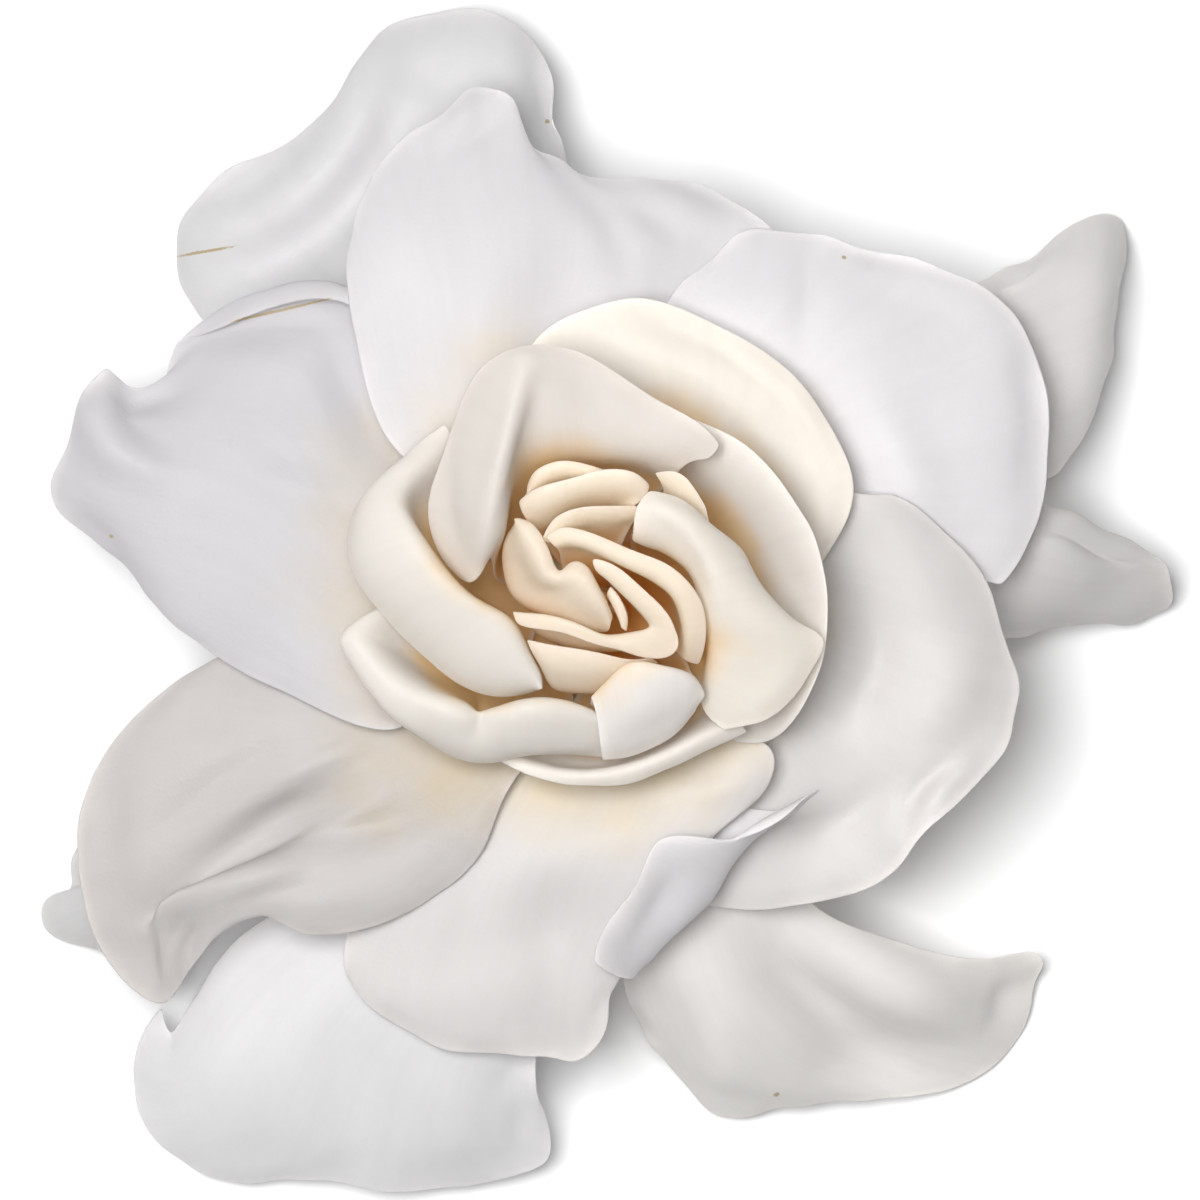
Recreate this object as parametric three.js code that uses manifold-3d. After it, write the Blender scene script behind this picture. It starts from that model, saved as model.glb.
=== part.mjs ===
// A double gardenia flower, cut with a very short stalk and lying face up.
// Units are millimetres, +Z is up and the cut end of the stalk stands on z = 0.
import * as THREE from "three";
import Module from "manifold-3d";

// Petals
const PETAL_THICKNESS = 0.6;
const PETAL_STEPS_ACROSS = 10;
const PETAL_STEPS_ALONG = 8;

// Stalk, calyx and corolla tube
const PEDICEL_RADIUS = 1.7;
const PEDICEL_TOP_RADIUS = 2.1;
const PEDICEL_LENGTH = 3.2;
const CALYX_BASE = 3.5;
const CALYX_TOP = 9.4;
const CALYX_BASE_RADIUS = 2.5;
const CALYX_TOP_RADIUS = 4.1;
const CALYX_HOLE_RADIUS = 3.1;
const CALYX_FLOOR = 5.2;
const RIB_COUNT = 6;
const RIB_DEPTH = 0.35;
const SEPAL_STEPS = 10;
const SEPAL_WIDTH = 1.9;
const SEPAL_THICKNESS = 0.8;
const TUBE_BASE = 5.5;
const TUBE_RADIUS = 2.75;

// Half profile of the tube and of the hub that carries the petals, as radius and height.
const TUBE_PROFILE = [
  [0, TUBE_BASE],
  [TUBE_RADIUS, TUBE_BASE],
  [TUBE_RADIUS, 9.6],
  [3.0, 11.2],
  [3.9, 12.9],
  [5.2, 13.9],
  [5.8, 14.3],
  [5.75, 15.0],
  [4.95, 15.8],
  [4.85, 16.8],
  [4.1, 17.4],
  [4.0, 18.7],
  [2.9, 19.4],
  [2.8, 20.6],
  [1.85, 21.2],
  [1.8, 22.0],
  [0.85, 22.4],
  [0.8, 23.1],
  [0, 23.2],
];

// Middle line of a sepal, as distance from the axis and height.
const SEPAL_LINE = [
  [3.5, 8.2],
  [4.8, 9.8],
  [6.6, 11.0],
  [9.0, 11.6],
  [11.6, 11.2],
  [13.8, 10.0],
];

// Colours, one per group of petals
const WHITE = "#efeeec";
const OUTER_WHITE = "#e6e5e1";
const INNER_WHITE = "#efe9df";
const CREAM = "#ecdcc2";
const TUBE_GREEN = "#d3dbb4";
const CALYX_GREEN = "#5f8a3c";
const STALK_GREEN = "#6d7f3f";

// Each petal has a foot on the hub and rows of points from the foot out to the rim.
// foot: bearing in degrees, distance from the axis, height, width, rise from right to left
// rows: every row runs across the petal, anticlockwise as seen from above
const PETALS = {
  "outer_petal_1": {
    "foot": [352, 6.2, 14.5, 4.8, 0.4],
    "rows": [
      [[12.6, -4.2, 15.9], [13.6, 0, 16.4], [12.6, 4, 16]],
      [[21, -5.2, 15.4], [22, 0.6, 16.2], [20.5, 6, 15.6]],
      [[29.5, -4, 11.8], [31, 1.5, 14], [31.5, 6, 14.4], [31, 9, 13.6]],
      [[34.5, -2.9, 7.4], [36.6, 1.2, 11.2], [37.6, 5.5, 13.3], [36.8, 8, 12.2]],
      [[39.9, -2.1, 3.8], [41.6, 0.6, 7], [42.3, 3.7, 10.1], [41, 6.2, 9.2]],
      [[43.3, -1.6, 1.8], [46, -0.9, 1.4], [47.4, -0.2, 1.6], [47.8, 0.6, 2.6], [47.6, 1.9, 4.4],
       [47.4, 3, 6], [46.2, 3.9, 6.6], [43.9, 4.8, 7.6]],
    ],
  },
  "outer_petal_2": {
    "foot": [42, 6.2, 14.5, 4.8, 0.4],
    "rows": [
      [[12.4, 5.2, 15.9], [11.6, 8.6, 16.5], [8.6, 10.8, 16]],
      [[21.5, 8, 15.6], [20, 13.5, 16.2], [15, 18.5, 15.6]],
      [[31, 10.2, 13.2], [31.6, 17, 13.8], [28.5, 23, 13.6], [24.5, 25, 12.8]],
      [[36.8, 9.8, 10.6], [39, 15, 9.8], [40, 21.5, 9], [39.6, 27.6, 8.6], [37.6, 28, 9.4],
       [35.4, 26.2, 10.6], [33, 24.2, 11.8]],
      [[38.4, 10.6, 9.6], [40.4, 13.6, 8], [42, 18.4, 6], [42.7, 24, 4], [43.1, 28.5, 2.6],
       [43.9, 30.8, 1.2], [43.9, 32, 0.6], [42.6, 32.4, 1], [40.1, 31.7, 2.4], [36.9, 29.7, 4.8],
       [33.4, 27.8, 7.4], [30.9, 26.3, 9.2]],
    ],
  },
  "outer_petal_3": {
    "foot": [115, 6.2, 14.5, 5, 0.4],
    "rows": [
      [[-1.5, 13.5, 15.7], [-6, 12.5, 16.4], [-10.5, 8.9, 15.8]],
      [[-0.5, 22, 15.8], [-7.5, 22.5, 16.2], [-15, 18.5, 15], [-18.5, 14, 14.6]],
      [[-1, 30.5, 13.8], [-8, 33.5, 14], [-16, 31.5, 11.6], [-23, 26, 9.8], [-27.5, 19, 10.2]],
      [[-2.4, 35, 11.8], [-8.5, 39, 11], [-15, 37, 8.8], [-20, 33, 7.6], [-24.5, 29.3, 6.2],
       [-29, 25.5, 5.4], [-30, 20.5, 6.2]],
      [[-2.9, 38, 10.6], [-7, 44.5, 8.2], [-13, 46, 6.2], [-18.3, 43.5, 5.9], [-21.5, 39.8, 6.6],
       [-25, 36.3, 6.8], [-28.5, 33.3, 6], [-32, 31, 4.2], [-33.3, 27.5, 2.4], [-32, 22.5, 4]],
      [[-3.3, 40, 9.6], [-3.7, 43.6, 7.6], [-5.1, 46.5, 6], [-7.9, 48.4, 4.8], [-11.5, 49.4, 3.8],
       [-15.3, 49.2, 3.2], [-18.5, 47.7, 3], [-19.8, 45.3, 3.6], [-21.5, 42.5, 4.4],
       [-24.4, 39.7, 4.8], [-27.5, 37.6, 4.4], [-30.8, 36.1, 3.4], [-33.4, 33.7, 2],
       [-35.4, 31.2, 1], [-35.7, 28.4, 0.6], [-34.9, 25.9, 1], [-33.3, 23.5, 2.4]],
    ],
  },
  "outer_petal_4": {
    "foot": [203, 6.2, 14.5, 4.8, 0.4],
    "rows": [
      [[-13.2, -3.8, 15.9], [-12.4, -6.8, 16.4], [-10.4, -9, 16]],
      [[-22, -7, 15.2], [-21, -12.2, 15.8], [-18, -15, 15.2]],
      [[-31.5, -12, 12], [-31.4, -17, 12.6], [-29.5, -21, 11.8]],
      [[-39, -17.5, 7.2], [-39.5, -22.5, 7.8], [-37.5, -27.5, 6.4]],
      [[-42.6, -19, 4.6], [-43.8, -20.2, 3.8], [-44.7, -22.1, 3], [-44.6, -24.2, 2.2],
       [-46, -24.9, 1.2], [-46.8, -26, 0.6], [-46.7, -27.3, 0.5], [-45.5, -28.6, 0.8],
       [-43.6, -29.3, 1.6], [-41, -29.9, 3]],
    ],
  },
  "outer_petal_5": {
    "foot": [253, 6.2, 14.5, 4.8, 0.4],
    "rows": [
      [[-8.4, -10.6, 15.9], [-4.8, -12.8, 16.4], [-1.2, -13.2, 16]],
      [[-14.5, -18.2, 15.2], [-9, -21.5, 16], [-2.5, -22, 15.6]],
      [[-24.5, -25, 12.4], [-18, -29.5, 14.2], [-10, -32, 14.2], [-3.5, -30, 13.6]],
      [[-32, -30.5, 8.6], [-28, -36, 11.6], [-19, -38.5, 12], [-10.5, -38.5, 11.6],
       [-5, -35.5, 11.6]],
      [[-36.2, -36, 4.4], [-33.5, -41.5, 7], [-24, -44.5, 7.4], [-13, -45, 7.2],
       [-5.2, -41.4, 8.6]],
      [[-36.7, -33.9, 4.4], [-38.7, -36.4, 2.2], [-39.7, -39.1, 0.9], [-39.1, -42, 0.4],
       [-37.7, -44.9, 0.3], [-35.1, -47.1, 0.5], [-31.9, -48.7, 1.2], [-28.7, -49, 2],
       [-24.9, -48.7, 2.8], [-19.3, -49.1, 3], [-14, -49.4, 2.8], [-10, -49.1, 2.6],
       [-6.9, -47.9, 3], [-4.5, -47, 3.4], [-4.2, -45.2, 4.4], [-4.9, -42.5, 6.6]],
    ],
  },
  "outer_petal_6": {
    "foot": [302, 6.2, 14.5, 4.6, 0.4],
    "rows": [
      [[3.2, -13.2, 15.9], [7.4, -11.8, 16.4], [10.6, -8.8, 16]],
      [[2.5, -21.5, 15.2], [9, -20.5, 16], [14.8, -17.2, 15.4]],
      [[1.8, -29, 12], [9, -29, 14.2], [14.6, -27.5, 13], [16.4, -23.8, 13.4]],
      [[3.2, -35.8, 6], [8.5, -35, 10.8], [14, -35.5, 10.6], [19.5, -33.5, 8.6], [24, -30.5, 10.4],
       [24.4, -28.4, 10]],
      [[5.8, -39.7, 3], [10.5, -39.5, 7], [16, -39, 7.2], [23, -37, 5], [29, -32.5, 7.8],
       [30.5, -29.9, 7.6]],
      [[7.4, -41.5, 1.8], [9, -43.2, 1.2], [11.9, -43.6, 1.4], [15, -42.8, 2.4], [20, -42.2, 3],
       [25, -41.7, 2.4], [29.8, -41, 1.2], [32.5, -39.5, 0.6], [34.8, -37.3, 0.4],
       [36.2, -34.2, 0.8], [36.7, -31.4, 1.6], [37.1, -30, 2.6], [36.3, -29.4, 3.4],
       [34.6, -30, 5]],
    ],
  },
  "middle_petal_1": {
    "foot": [46, 5.4, 16.4, 4, 0.8],
    "rows": [
      [[13.5, 3, 18.6], [11.5, 8.5, 19.6], [7.5, 12, 20.4], [2.5, 13.8, 21]],
      [[20.5, 4.5, 19], [18.5, 11, 20.4], [13, 17.5, 21.2], [5, 20.5, 22]],
      [[27, 3, 18.8], [27, 11, 20], [22.5, 19.5, 20.6], [14.5, 23.8, 21.4], [5, 23.4, 22]],
      [[31, 1.8, 17.8], [33, 10.5, 18.4], [30, 19.5, 18.8], [22, 25.3, 19.5], [12.5, 27, 20.5],
       [6, 25.3, 21.5]],
      [[33.5, 1.1, 16.6], [35.6, 4.8, 16.2], [36.9, 8.3, 16], [37.5, 12.5, 16], [37.4, 16.3, 15.8],
       [36.4, 20.3, 15.6], [34.5, 23.7, 15.6], [32.4, 25.8, 15.8], [29.2, 27.2, 16.4],
       [26, 28.5, 16.8], [23.3, 29.1, 17], [20.9, 29.5, 17.3], [18.8, 30.5, 17.3], [15.1, 30.8, 18],
       [12.7, 31, 18.4], [11.3, 30.4, 19], [9.7, 28.7, 19.8], [8.1, 27.3, 20.5], [6.8, 26.4, 21]],
    ],
  },
  "middle_petal_2": {
    "foot": [103, 5.4, 16.4, 4, 0.8],
    "rows": [
      [[4.5, 12.5, 18.6], [-1.5, 13.5, 19.6], [-7, 12, 20.4], [-11.5, 8.5, 21]],
      [[9.5, 20, 19.4], [2, 20.5, 20.6], [-6, 20.5, 21.6], [-13, 16.5, 22], [-17.4, 13, 22.2]],
      [[12.5, 25.5, 18.6], [4, 27.5, 19.6], [-5, 28, 21.2], [-14, 25.5, 22], [-20.3, 21.5, 21.8]],
      [[14, 29, 17.6], [6, 31.8, 18.2], [-3, 33, 19.8], [-11, 34.5, 20.4], [-17.5, 32.5, 20.6],
       [-21.1, 27, 20.8]],
      [[14.4, 30.8, 17], [11.3, 33.1, 16.3], [7.6, 34.9, 15.9], [4.7, 35, 16.3], [2.5, 35, 16.6],
       [-0.1, 35.1, 17.1], [-1.8, 35.7, 17.4], [-3.3, 37.1, 17.2], [-5.2, 37.7, 17.5],
       [-6.1, 38.9, 17.4], [-6.6, 41, 17.2], [-7.3, 42.1, 17.1], [-9.2, 42.7, 16.4],
       [-10.6, 43.1, 15.8], [-12.7, 40.8, 16.8], [-15.6, 39.2, 17.2], [-17.9, 37, 17.8],
       [-19.3, 34.8, 18.5], [-20.4, 31.6, 19.4], [-21.1, 28.7, 20.2]],
    ],
  },
  "middle_petal_3": {
    "foot": [165, 5.4, 16.4, 4, 0.8],
    "rows": [
      [[-9.6, 9.6, 18.6], [-12.6, 6, 19.6], [-13.3, 1, 20.4], [-12.5, -4, 21]],
      [[-15.5, 15.5, 19], [-19.5, 10.5, 19.8], [-20.5, 3, 20.4], [-19.5, -4, 21],
       [-16, -10.4, 21.8]],
      [[-21, 24.5, 20.4], [-21.2, 25.9, 20], [-21.4, 24.6, 19], [-23, 20.8, 19.2],
       [-25.2, 17, 19.5], [-26.7, 14, 19.7], [-27.8, 11, 19.8], [-28.5, 7.5, 19.9], [-28.7, 4, 20],
       [-28, -1, 20.2], [-25.2, -8.2, 20.6]],
      [[-27, 24.3, 18.8], [-27.3, 25.9, 18.3], [-27.6, 24.5, 17.3], [-30.5, 20.5, 17.4],
       [-33.8, 16.2, 17.4], [-35.2, 13.6, 18], [-36, 11.3, 18.5], [-36.3, 9, 18.6],
       [-36, 6.3, 18.4], [-34.5, 1.6, 18.2], [-31.6, -4.9, 18.4]],
      [[-31.3, 22.7, 17.4], [-31.9, 24.1, 16.9], [-32.6, 22.9, 16], [-34.9, 19.3, 15.9],
       [-38.4, 16.4, 15.7], [-40.4, 15.8, 17], [-41.7, 14.4, 17.2], [-42.2, 11.8, 16.6],
       [-42, 8.8, 16.6], [-39.8, 4.6, 16.6], [-36.6, -0.9, 16.2]],
      [[-33.6, 21.9, 16.2], [-34.7, 21.9, 15.8], [-35.7, 20.4, 15.3], [-36.4, 18.6, 14.9],
       [-39.7, 17.7, 14.5], [-40.9, 19.4, 16], [-42.7, 17.8, 15.8], [-44.5, 13, 14.4],
       [-46.1, 9.5, 13.8], [-43.6, 5.5, 14], [-40, 2.5, 14.2]],
    ],
  },
  "middle_petal_4": {
    "foot": [219, 5.4, 16.4, 3.6, 1],
    "rows": [
      [[-12.9, -3, 18.6], [-12.5, -8, 19.6], [-9.4, -11.3, 20.4], [-5.4, -12.9, 21.1]],
      [[-21.5, -5, 18.8], [-20, -12, 19.8], [-15.5, -15.5, 20.4], [-10.5, -17, 21.2],
       [-7.2, -14.8, 21.8]],
      [[-27, -4.6, 18], [-30, -10.5, 18.6], [-27.4, -15.6, 18.4], [-23, -18, 18], [-17, -20, 20],
       [-9.6, -20.6, 20.8]],
      [[-29, -3.8, 17.2], [-34.5, -9.5, 17], [-36.5, -14.5, 16.8], [-36, -18.5, 16.4],
       [-33.5, -21.4, 16.2], [-30, -22.6, 16.2], [-28.8, -22.5, 18.2], [-25, -22.6, 19.6],
       [-19.5, -24, 20], [-13.2, -24.3, 19.8]],
      [[-30.4, -4, 16.6], [-37.4, -10.4, 15.8], [-40.1, -16.2, 15.2], [-40.4, -21.4, 14.7],
       [-39, -25, 14], [-37, -26.5, 13.2], [-37.1, -25.8, 16.2], [-33, -24.6, 18],
       [-26.5, -25, 19.4], [-17.6, -26.7, 19.2]],
      [[-31, -4.2, 16.2], [-39.2, -11.6, 14.8], [-42, -17.6, 14], [-41.9, -24, 13],
       [-40, -28.6, 11.8], [-36.7, -30.4, 11.4], [-35.6, -28.8, 14.4], [-32.6, -26.8, 17],
       [-28.1, -25.8, 18.8], [-21.6, -27.8, 18.8]],
      [[-31.6, -4.5, 15.8], [-40.6, -12.1, 14.2], [-43.4, -19, 13.1], [-43.2, -25, 12.2],
       [-40.6, -31.1, 10.8], [-36.4, -33.8, 10.7], [-34.9, -32, 12.6], [-33, -29.3, 15.4],
       [-29.5, -26.1, 18.2], [-24.6, -27.9, 18.4]],
    ],
  },
  "middle_petal_5": {
    "foot": [267, 5.3, 16.6, 3.6, 1.2],
    "rows": [
      [[-8.5, -9.7, 18.2], [-3, -12.5, 19.5], [3.5, -12.8, 21], [8.5, -10.5, 21.7]],
      [[-14, -14.5, 18.6], [-7, -17, 20.2], [1, -17.5, 21.8], [8, -16, 22.5], [12.6, -13, 22.8],
       [14.5, -12.8, 22.8]],
      [[-18.5, -20.5, 17.8], [-11, -22.5, 19.2], [-3, -21.5, 21.4], [4, -19.6, 22.3],
       [10, -17.6, 22.7], [14, -15.6, 22.4]],
      [[-20.5, -26, 16.8], [-13, -29, 17.6], [-6, -28, 18.4], [1, -25, 20.2], [7, -21.6, 21.8],
       [11, -18.6, 22]],
      [[-21.2, -30.2, 15.4], [-15.5, -33.5, 16.2], [-8, -33.5, 16.6], [-2, -31, 17.2],
       [2.5, -27.5, 19], [6.5, -23.6, 20.6]],
      [[-20.5, -31.9, 14.8], [-19.5, -33.5, 14.9], [-18.1, -34.8, 14.7], [-16, -35.9, 14.5],
       [-14.1, -36.9, 14.2], [-12, -37.6, 14.2], [-9.1, -38, 14.2], [-5.9, -38.2, 14],
       [-3.2, -38.5, 13.4], [-2.3, -38.7, 13.2], [-1.1, -38.1, 13.4], [0, -36.9, 14],
       [0.5, -35.6, 14.6], [0.8, -33.7, 15.4], [1.1, -31.8, 16.2], [2.2, -29.4, 17.4]],
    ],
  },
  "middle_petal_6": {
    "foot": [346, 5.4, 16.3, 3.8, 0.8],
    "rows": [
      [[5, -12.2, 17.9], [10.5, -8, 19.2], [13, -2, 20.2], [11.8, 6.3, 21]],
      [[6, -19, 18.8], [12, -16, 19.4], [18.5, -10, 19.4], [20.5, -3, 19.4], [20.5, 4, 20.6],
       [17.5, 10.5, 22]],
      [[7, -22.8, 18], [14, -21, 18.4], [20.5, -17.5, 18.2], [26, -11, 19.8], [27.5, -4, 20.3],
       [26, 3, 21.5], [21, 9, 22.4]],
      [[8.5, -25.5, 17], [11.7, -25.8, 16.9], [14.1, -25.8, 16.9], [17.8, -25.1, 17],
       [21, -24.5, 17.4], [24.2, -22.9, 18.2], [25.5, -21.5, 19], [26.5, -19.9, 20],
       [28.7, -18, 20.2], [31.9, -14.7, 19.6], [34.1, -11.9, 18.4], [34.5, -9.6, 17.8],
       [34.9, -7.2, 17.5], [34, -4.3, 17.8], [33.2, -1.3, 18.2], [32.4, 1.3, 18.9], [30, 4.4, 20.1],
       [27.1, 7.2, 21.3], [25.5, 8.3, 21.9], [23.9, 8.8, 22.2]],
    ],
  },
  "middle_petal_7": {
    "foot": [311, 5.2, 17, 1.6, 0.2],
    "rows": [
      [[4.2, -13.1, 18.9], [7.2, -12.2, 19.7], [9.6, -10, 20.4]],
      [[2.5, -21.5, 17.8], [6.6, -19.8, 20], [10.6, -16.6, 21]],
      [[2.7, -31.7, 17.3], [4.7, -29.4, 18.6], [7, -26.8, 19.8], [9, -25, 20], [10.9, -21.8, 21],
       [14.1, -18.6, 22.2], [18.4, -16.3, 23]],
      [[0.6, -31.1, 19.6], [2.6, -28.4, 21.2], [5, -25.4, 22.6], [6.6, -23, 23.6], [8.6, -21, 24.2],
       [12.6, -18.8, 24.2], [18.5, -16, 23.6]],
      [[-0.4, -30.4, 20.6], [0, -28.1, 22], [2.4, -24.9, 23.8], [3.7, -22.2, 24.6],
       [4.6, -20.2, 24.8], [10.4, -19.8, 24.6], [18.2, -15.8, 24]],
    ],
  },
  "inner_petal_1": {
    "foot": [355, 4.6, 18.3, 2.6, 0.4],
    "rows": [
      [[8.9, -8.6, 21.6], [10.8, -2, 23], [10.5, 3, 23.6], [8.7, 7.5, 24], [5.8, 10.2, 24]],
      [[10.2, -10.6, 23.2], [15, -4.6, 25.8], [15.3, 1, 26.4], [13.2, 6, 27.2], [9.8, 9.8, 27.6],
       [6.4, 12.2, 27]],
      [[11, -11.4, 23.6], [16.9, -6.5, 27.6], [17.9, -1.5, 28.9], [17.2, 3.2, 29.4],
       [14.6, 8, 29.8], [10.6, 11.8, 29.6], [6.8, 13.8, 28.8]],
      [[11.2, -11.8, 23.6], [13.4, -11.9, 24.2], [16, -10.1, 26.4], [17.6, -7.4, 28.4],
       [18.6, -4.4, 29.4], [18.9, -1.2, 30], [18.7, 1.6, 30.2], [17.7, 5.4, 30.4],
       [16.4, 7.7, 30.5], [14.4, 10.6, 30.4], [11.6, 13.2, 30.2], [7, 15.2, 29.4]],
    ],
  },
  "inner_petal_2": {
    "foot": [53, 4.8, 17.7, 2.3, 0.6],
    "rows": [
      [[11.4, 0, 20.8], [11, 7, 22], [8.2, 11.3, 22.2], [2.7, 13.6, 22.2], [-2, 12.8, 22.4]],
      [[17, 2, 22.6], [16.5, 11, 23.8], [11.5, 16.2, 24.6], [5, 18.4, 25], [-2.5, 18, 25.4]],
      [[18, 2.6, 22.8], [18.2, 12.2, 24.9], [13.5, 17.6, 25.6], [6.5, 20.6, 25.4], [-0.5, 21, 25.4],
       [-4, 19.8, 25.6]],
      [[18.3, 3, 22.6], [21.1, 9.2, 24], [19.1, 14.5, 24.6], [15.6, 19.1, 24.9], [11.3, 22, 25],
       [7.5, 23.9, 25.1], [3.1, 25.1, 25.3], [-0.7, 24.3, 25.5], [-4.7, 22.3, 25.7],
       [-6, 20.8, 25.8]],
    ],
  },
  "inner_petal_3": {
    "foot": [113, 4.6, 18.3, 2.6, 0.4],
    "rows": [
      [[5.6, 9.6, 27], [4.2, 10.6, 27.6], [2, 11.2, 28], [-0.5, 11.3, 28.2], [-3, 11.1, 28.2],
       [-5, 10.2, 27.6], [-6.4, 8.2, 27], [-7.4, 6, 26.4], [-8, 3.6, 25.6], [-8.2, 1.4, 25]],
      [[6.8, 10.9, 31], [5.2, 11.6, 31.4], [2.8, 12.1, 31.6], [0.2, 12.4, 31.8], [-2.4, 12.7, 32],
       [-5, 12.2, 32], [-6.3, 10.4, 31.6], [-7.4, 7.8, 30.8], [-8.5, 4.4, 29.8], [-8.9, 2.6, 28.4]],
      [[8, 11.5, 31.8], [6.6, 12.3, 32.2], [4, 13.2, 32.6], [1, 14.1, 32.9], [-2.2, 14.9, 33.4],
       [-4.8, 15.4, 34.1], [-6.2, 13.6, 34.6], [-7.3, 10.6, 34.7], [-8.5, 6, 33.8],
       [-9.3, 3.2, 31.4]],
      [[9, 11.6, 32], [7.8, 13, 32.5], [4.8, 15, 32.8], [1.4, 16.6, 33], [-2.2, 18, 33.6],
       [-5.2, 18.6, 35], [-6.8, 16, 35.2], [-8, 11.8, 35.2], [-9.4, 6.4, 34.2], [-9.9, 2, 31.4]],
      [[9.5, 12, 32], [8.6, 13.6, 32.5], [5, 15.8, 33], [1.4, 17.8, 33.3], [-2.3, 19.6, 33.8],
       [-6, 20, 34.9], [-7.7, 17, 34.8], [-9, 12.4, 34.6], [-10.6, 6.4, 33.4], [-10.6, 1.4, 30.8]],
      [[10, 12.8, 31.8], [9, 14, 32.5], [5.2, 16.3, 33], [1.3, 18.8, 33.3], [-2.3, 20.7, 33.6],
       [-6.4, 21, 34], [-10.4, 18.6, 32.2], [-12.5, 13.3, 31], [-14.2, 7.4, 30.4], [-13.2, 3.6, 30],
       [-11.6, 1.7, 29.8]],
    ],
  },
  "inner_petal_4": {
    "foot": [169, 4.6, 18.3, 2.6, 0.4],
    "rows": [
      [[-8.2, 9.4, 22.8], [-9.3, 7.8, 23], [-10.4, 5.3, 23.1], [-10.8, 3.2, 23.1], [-10.5, 1, 23],
       [-9.6, -1, 22.9], [-8.2, -2.8, 22.8], [-7, -4.4, 22.6], [-5.8, -5.6, 22.4]],
      [[-11.5, 12.5, 25.6], [-12.9, 10.4, 26.4], [-15, 7.8, 27.4], [-14.9, 5, 28], [-13.2, 2, 28],
       [-10.6, -1, 27.8], [-7.7, -3.2, 27.6], [-6.1, -5.6, 27.2], [-4.8, -7.4, 26.6]],
      [[-12.5, 14, 27.4], [-14.1, 12.5, 28.8], [-17.1, 9, 31.2], [-15.7, 5.9, 33],
       [-13.3, 2.3, 33.6], [-10.4, -0.3, 33.6], [-7.9, -1.8, 33.3], [-6.5, -4.5, 32.7],
       [-4.9, -7.4, 31.4]],
      [[-12.7, 14.4, 27.3], [-14.4, 12.9, 28.5], [-18.2, 9.5, 30.5], [-18.6, 6, 31.6],
       [-16.8, 2, 32.2], [-13, -0.8, 32.8], [-9.8, -3.6, 32.6], [-7.8, -6, 31.8], [-5, -7.5, 30.8]],
      [[-12.8, 14.6, 27], [-14.6, 13.3, 28], [-18.9, 9.6, 28.2], [-21, 5.4, 27.4],
       [-19.9, 1.4, 27.6], [-17, -2.2, 28.2], [-13.2, -5.9, 28.6], [-10, -7.8, 29],
       [-5.8, -7.9, 29.4]],
    ],
  },
  "inner_petal_5": {
    "foot": [224, 4.6, 18.4, 2.6, 0.4],
    "rows": [
      [[-10, -3, 21.8], [-10.6, -4, 21.9], [-10.8, -5, 22], [-10.4, -6.2, 22.1], [-9.4, -7.4, 22.2],
       [-8, -8.4, 22.3], [-6.8, -9, 22.4], [-5.4, -9.6, 22.9], [-3.6, -10, 23.4],
       [-1.6, -10.2, 23.6]],
      [[-14.4, -1, 24.8], [-15.6, -2.2, 25], [-16.2, -4, 25.4], [-15.2, -5.8, 26],
       [-12.8, -7.4, 26.4], [-10.4, -8.9, 26.4], [-9, -9.9, 26.4], [-6.8, -9.8, 26.6],
       [-3.4, -9.8, 26.6], [-0.6, -10.3, 26.2]],
      [[-16.6, 0.2, 26.2], [-18.6, -0.9, 26.6], [-20.6, -2.2, 28], [-21.2, -2.9, 28.4],
       [-20.6, -4, 28.8], [-19.2, -5.8, 29.4], [-16.1, -8.1, 30.2], [-12.2, -9, 30.9],
       [-10.1, -9.6, 30.6], [-6.8, -8.9, 31.2], [-2.8, -8.7, 31.1], [0.4, -10, 29.8]],
      [[-16.9, 0.3, 26], [-18.8, -1, 26.3], [-20.8, -2.3, 27.7], [-21.5, -2.9, 28],
       [-20.9, -4.5, 28.3], [-19.6, -6.5, 28.6], [-16.9, -9, 29.4], [-13, -10.4, 29.9],
       [-10.3, -11.1, 29.7], [-6.9, -10.6, 30.4], [-3, -10.7, 29.9], [0.6, -11.5, 28.3]],
      [[-17.2, 0.3, 25.8], [-19, -1, 26], [-21, -2.4, 27.3], [-21.6, -3.1, 27.4], [-21, -4.9, 27.4],
       [-19.8, -6.9, 27.2], [-17.2, -9.5, 26.4], [-13.9, -12, 25.8], [-10.6, -13.4, 25.6],
       [-7.2, -13.1, 26.2], [-3.8, -12.8, 26.6], [0.7, -13, 26]],
    ],
  },
  "inner_petal_6": {
    "foot": [281, 4.6, 18.1, 2.4, 0.2],
    "rows": [
      [[-5, -10.8, 21.8], [-2.6, -11.8, 21.8], [0.5, -12, 22.2], [3.2, -11.4, 22.4],
       [5.6, -10.6, 22.5], [7.2, -9.4, 22.4], [8.1, -7.8, 23]],
      [[-8, -12.2, 23.4], [-4.6, -13.6, 24.4], [0.2, -14, 25], [3.4, -13.2, 25.6],
       [6.6, -11.6, 26.2], [9.2, -10, 26], [11, -9.2, 26]],
      [[-8.6, -12.8, 24.2], [-5, -14.2, 26.4], [0, -14.6, 27.6], [3.4, -13.8, 28],
       [6.4, -12.5, 28.4], [9, -11.2, 28.2], [11.6, -10.2, 27.4]],
      [[-9, -13, 24], [-5.4, -14.7, 26], [-0.2, -15.4, 26.8], [4.2, -14.6, 27], [7.6, -13.2, 27.3],
       [9.8, -12, 27], [12.2, -10.8, 26.7]],
    ],
  },
  "inner_petal_7": {
    "foot": [304, 3.4, 20.2, 2, 0.2],
    "rows": [
      [[-0.4, -7.9, 25], [1, -8, 25], [2.8, -7.6, 25], [4.6, -6.7, 25.2], [6.2, -5.7, 25.6],
       [7, -4.9, 26]],
      [[-0.8, -8.6, 29], [1, -8.6, 29.4], [3, -8, 29.8], [5, -7, 30], [6.6, -6.4, 30],
       [7.7, -6.2, 29.6]],
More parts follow.
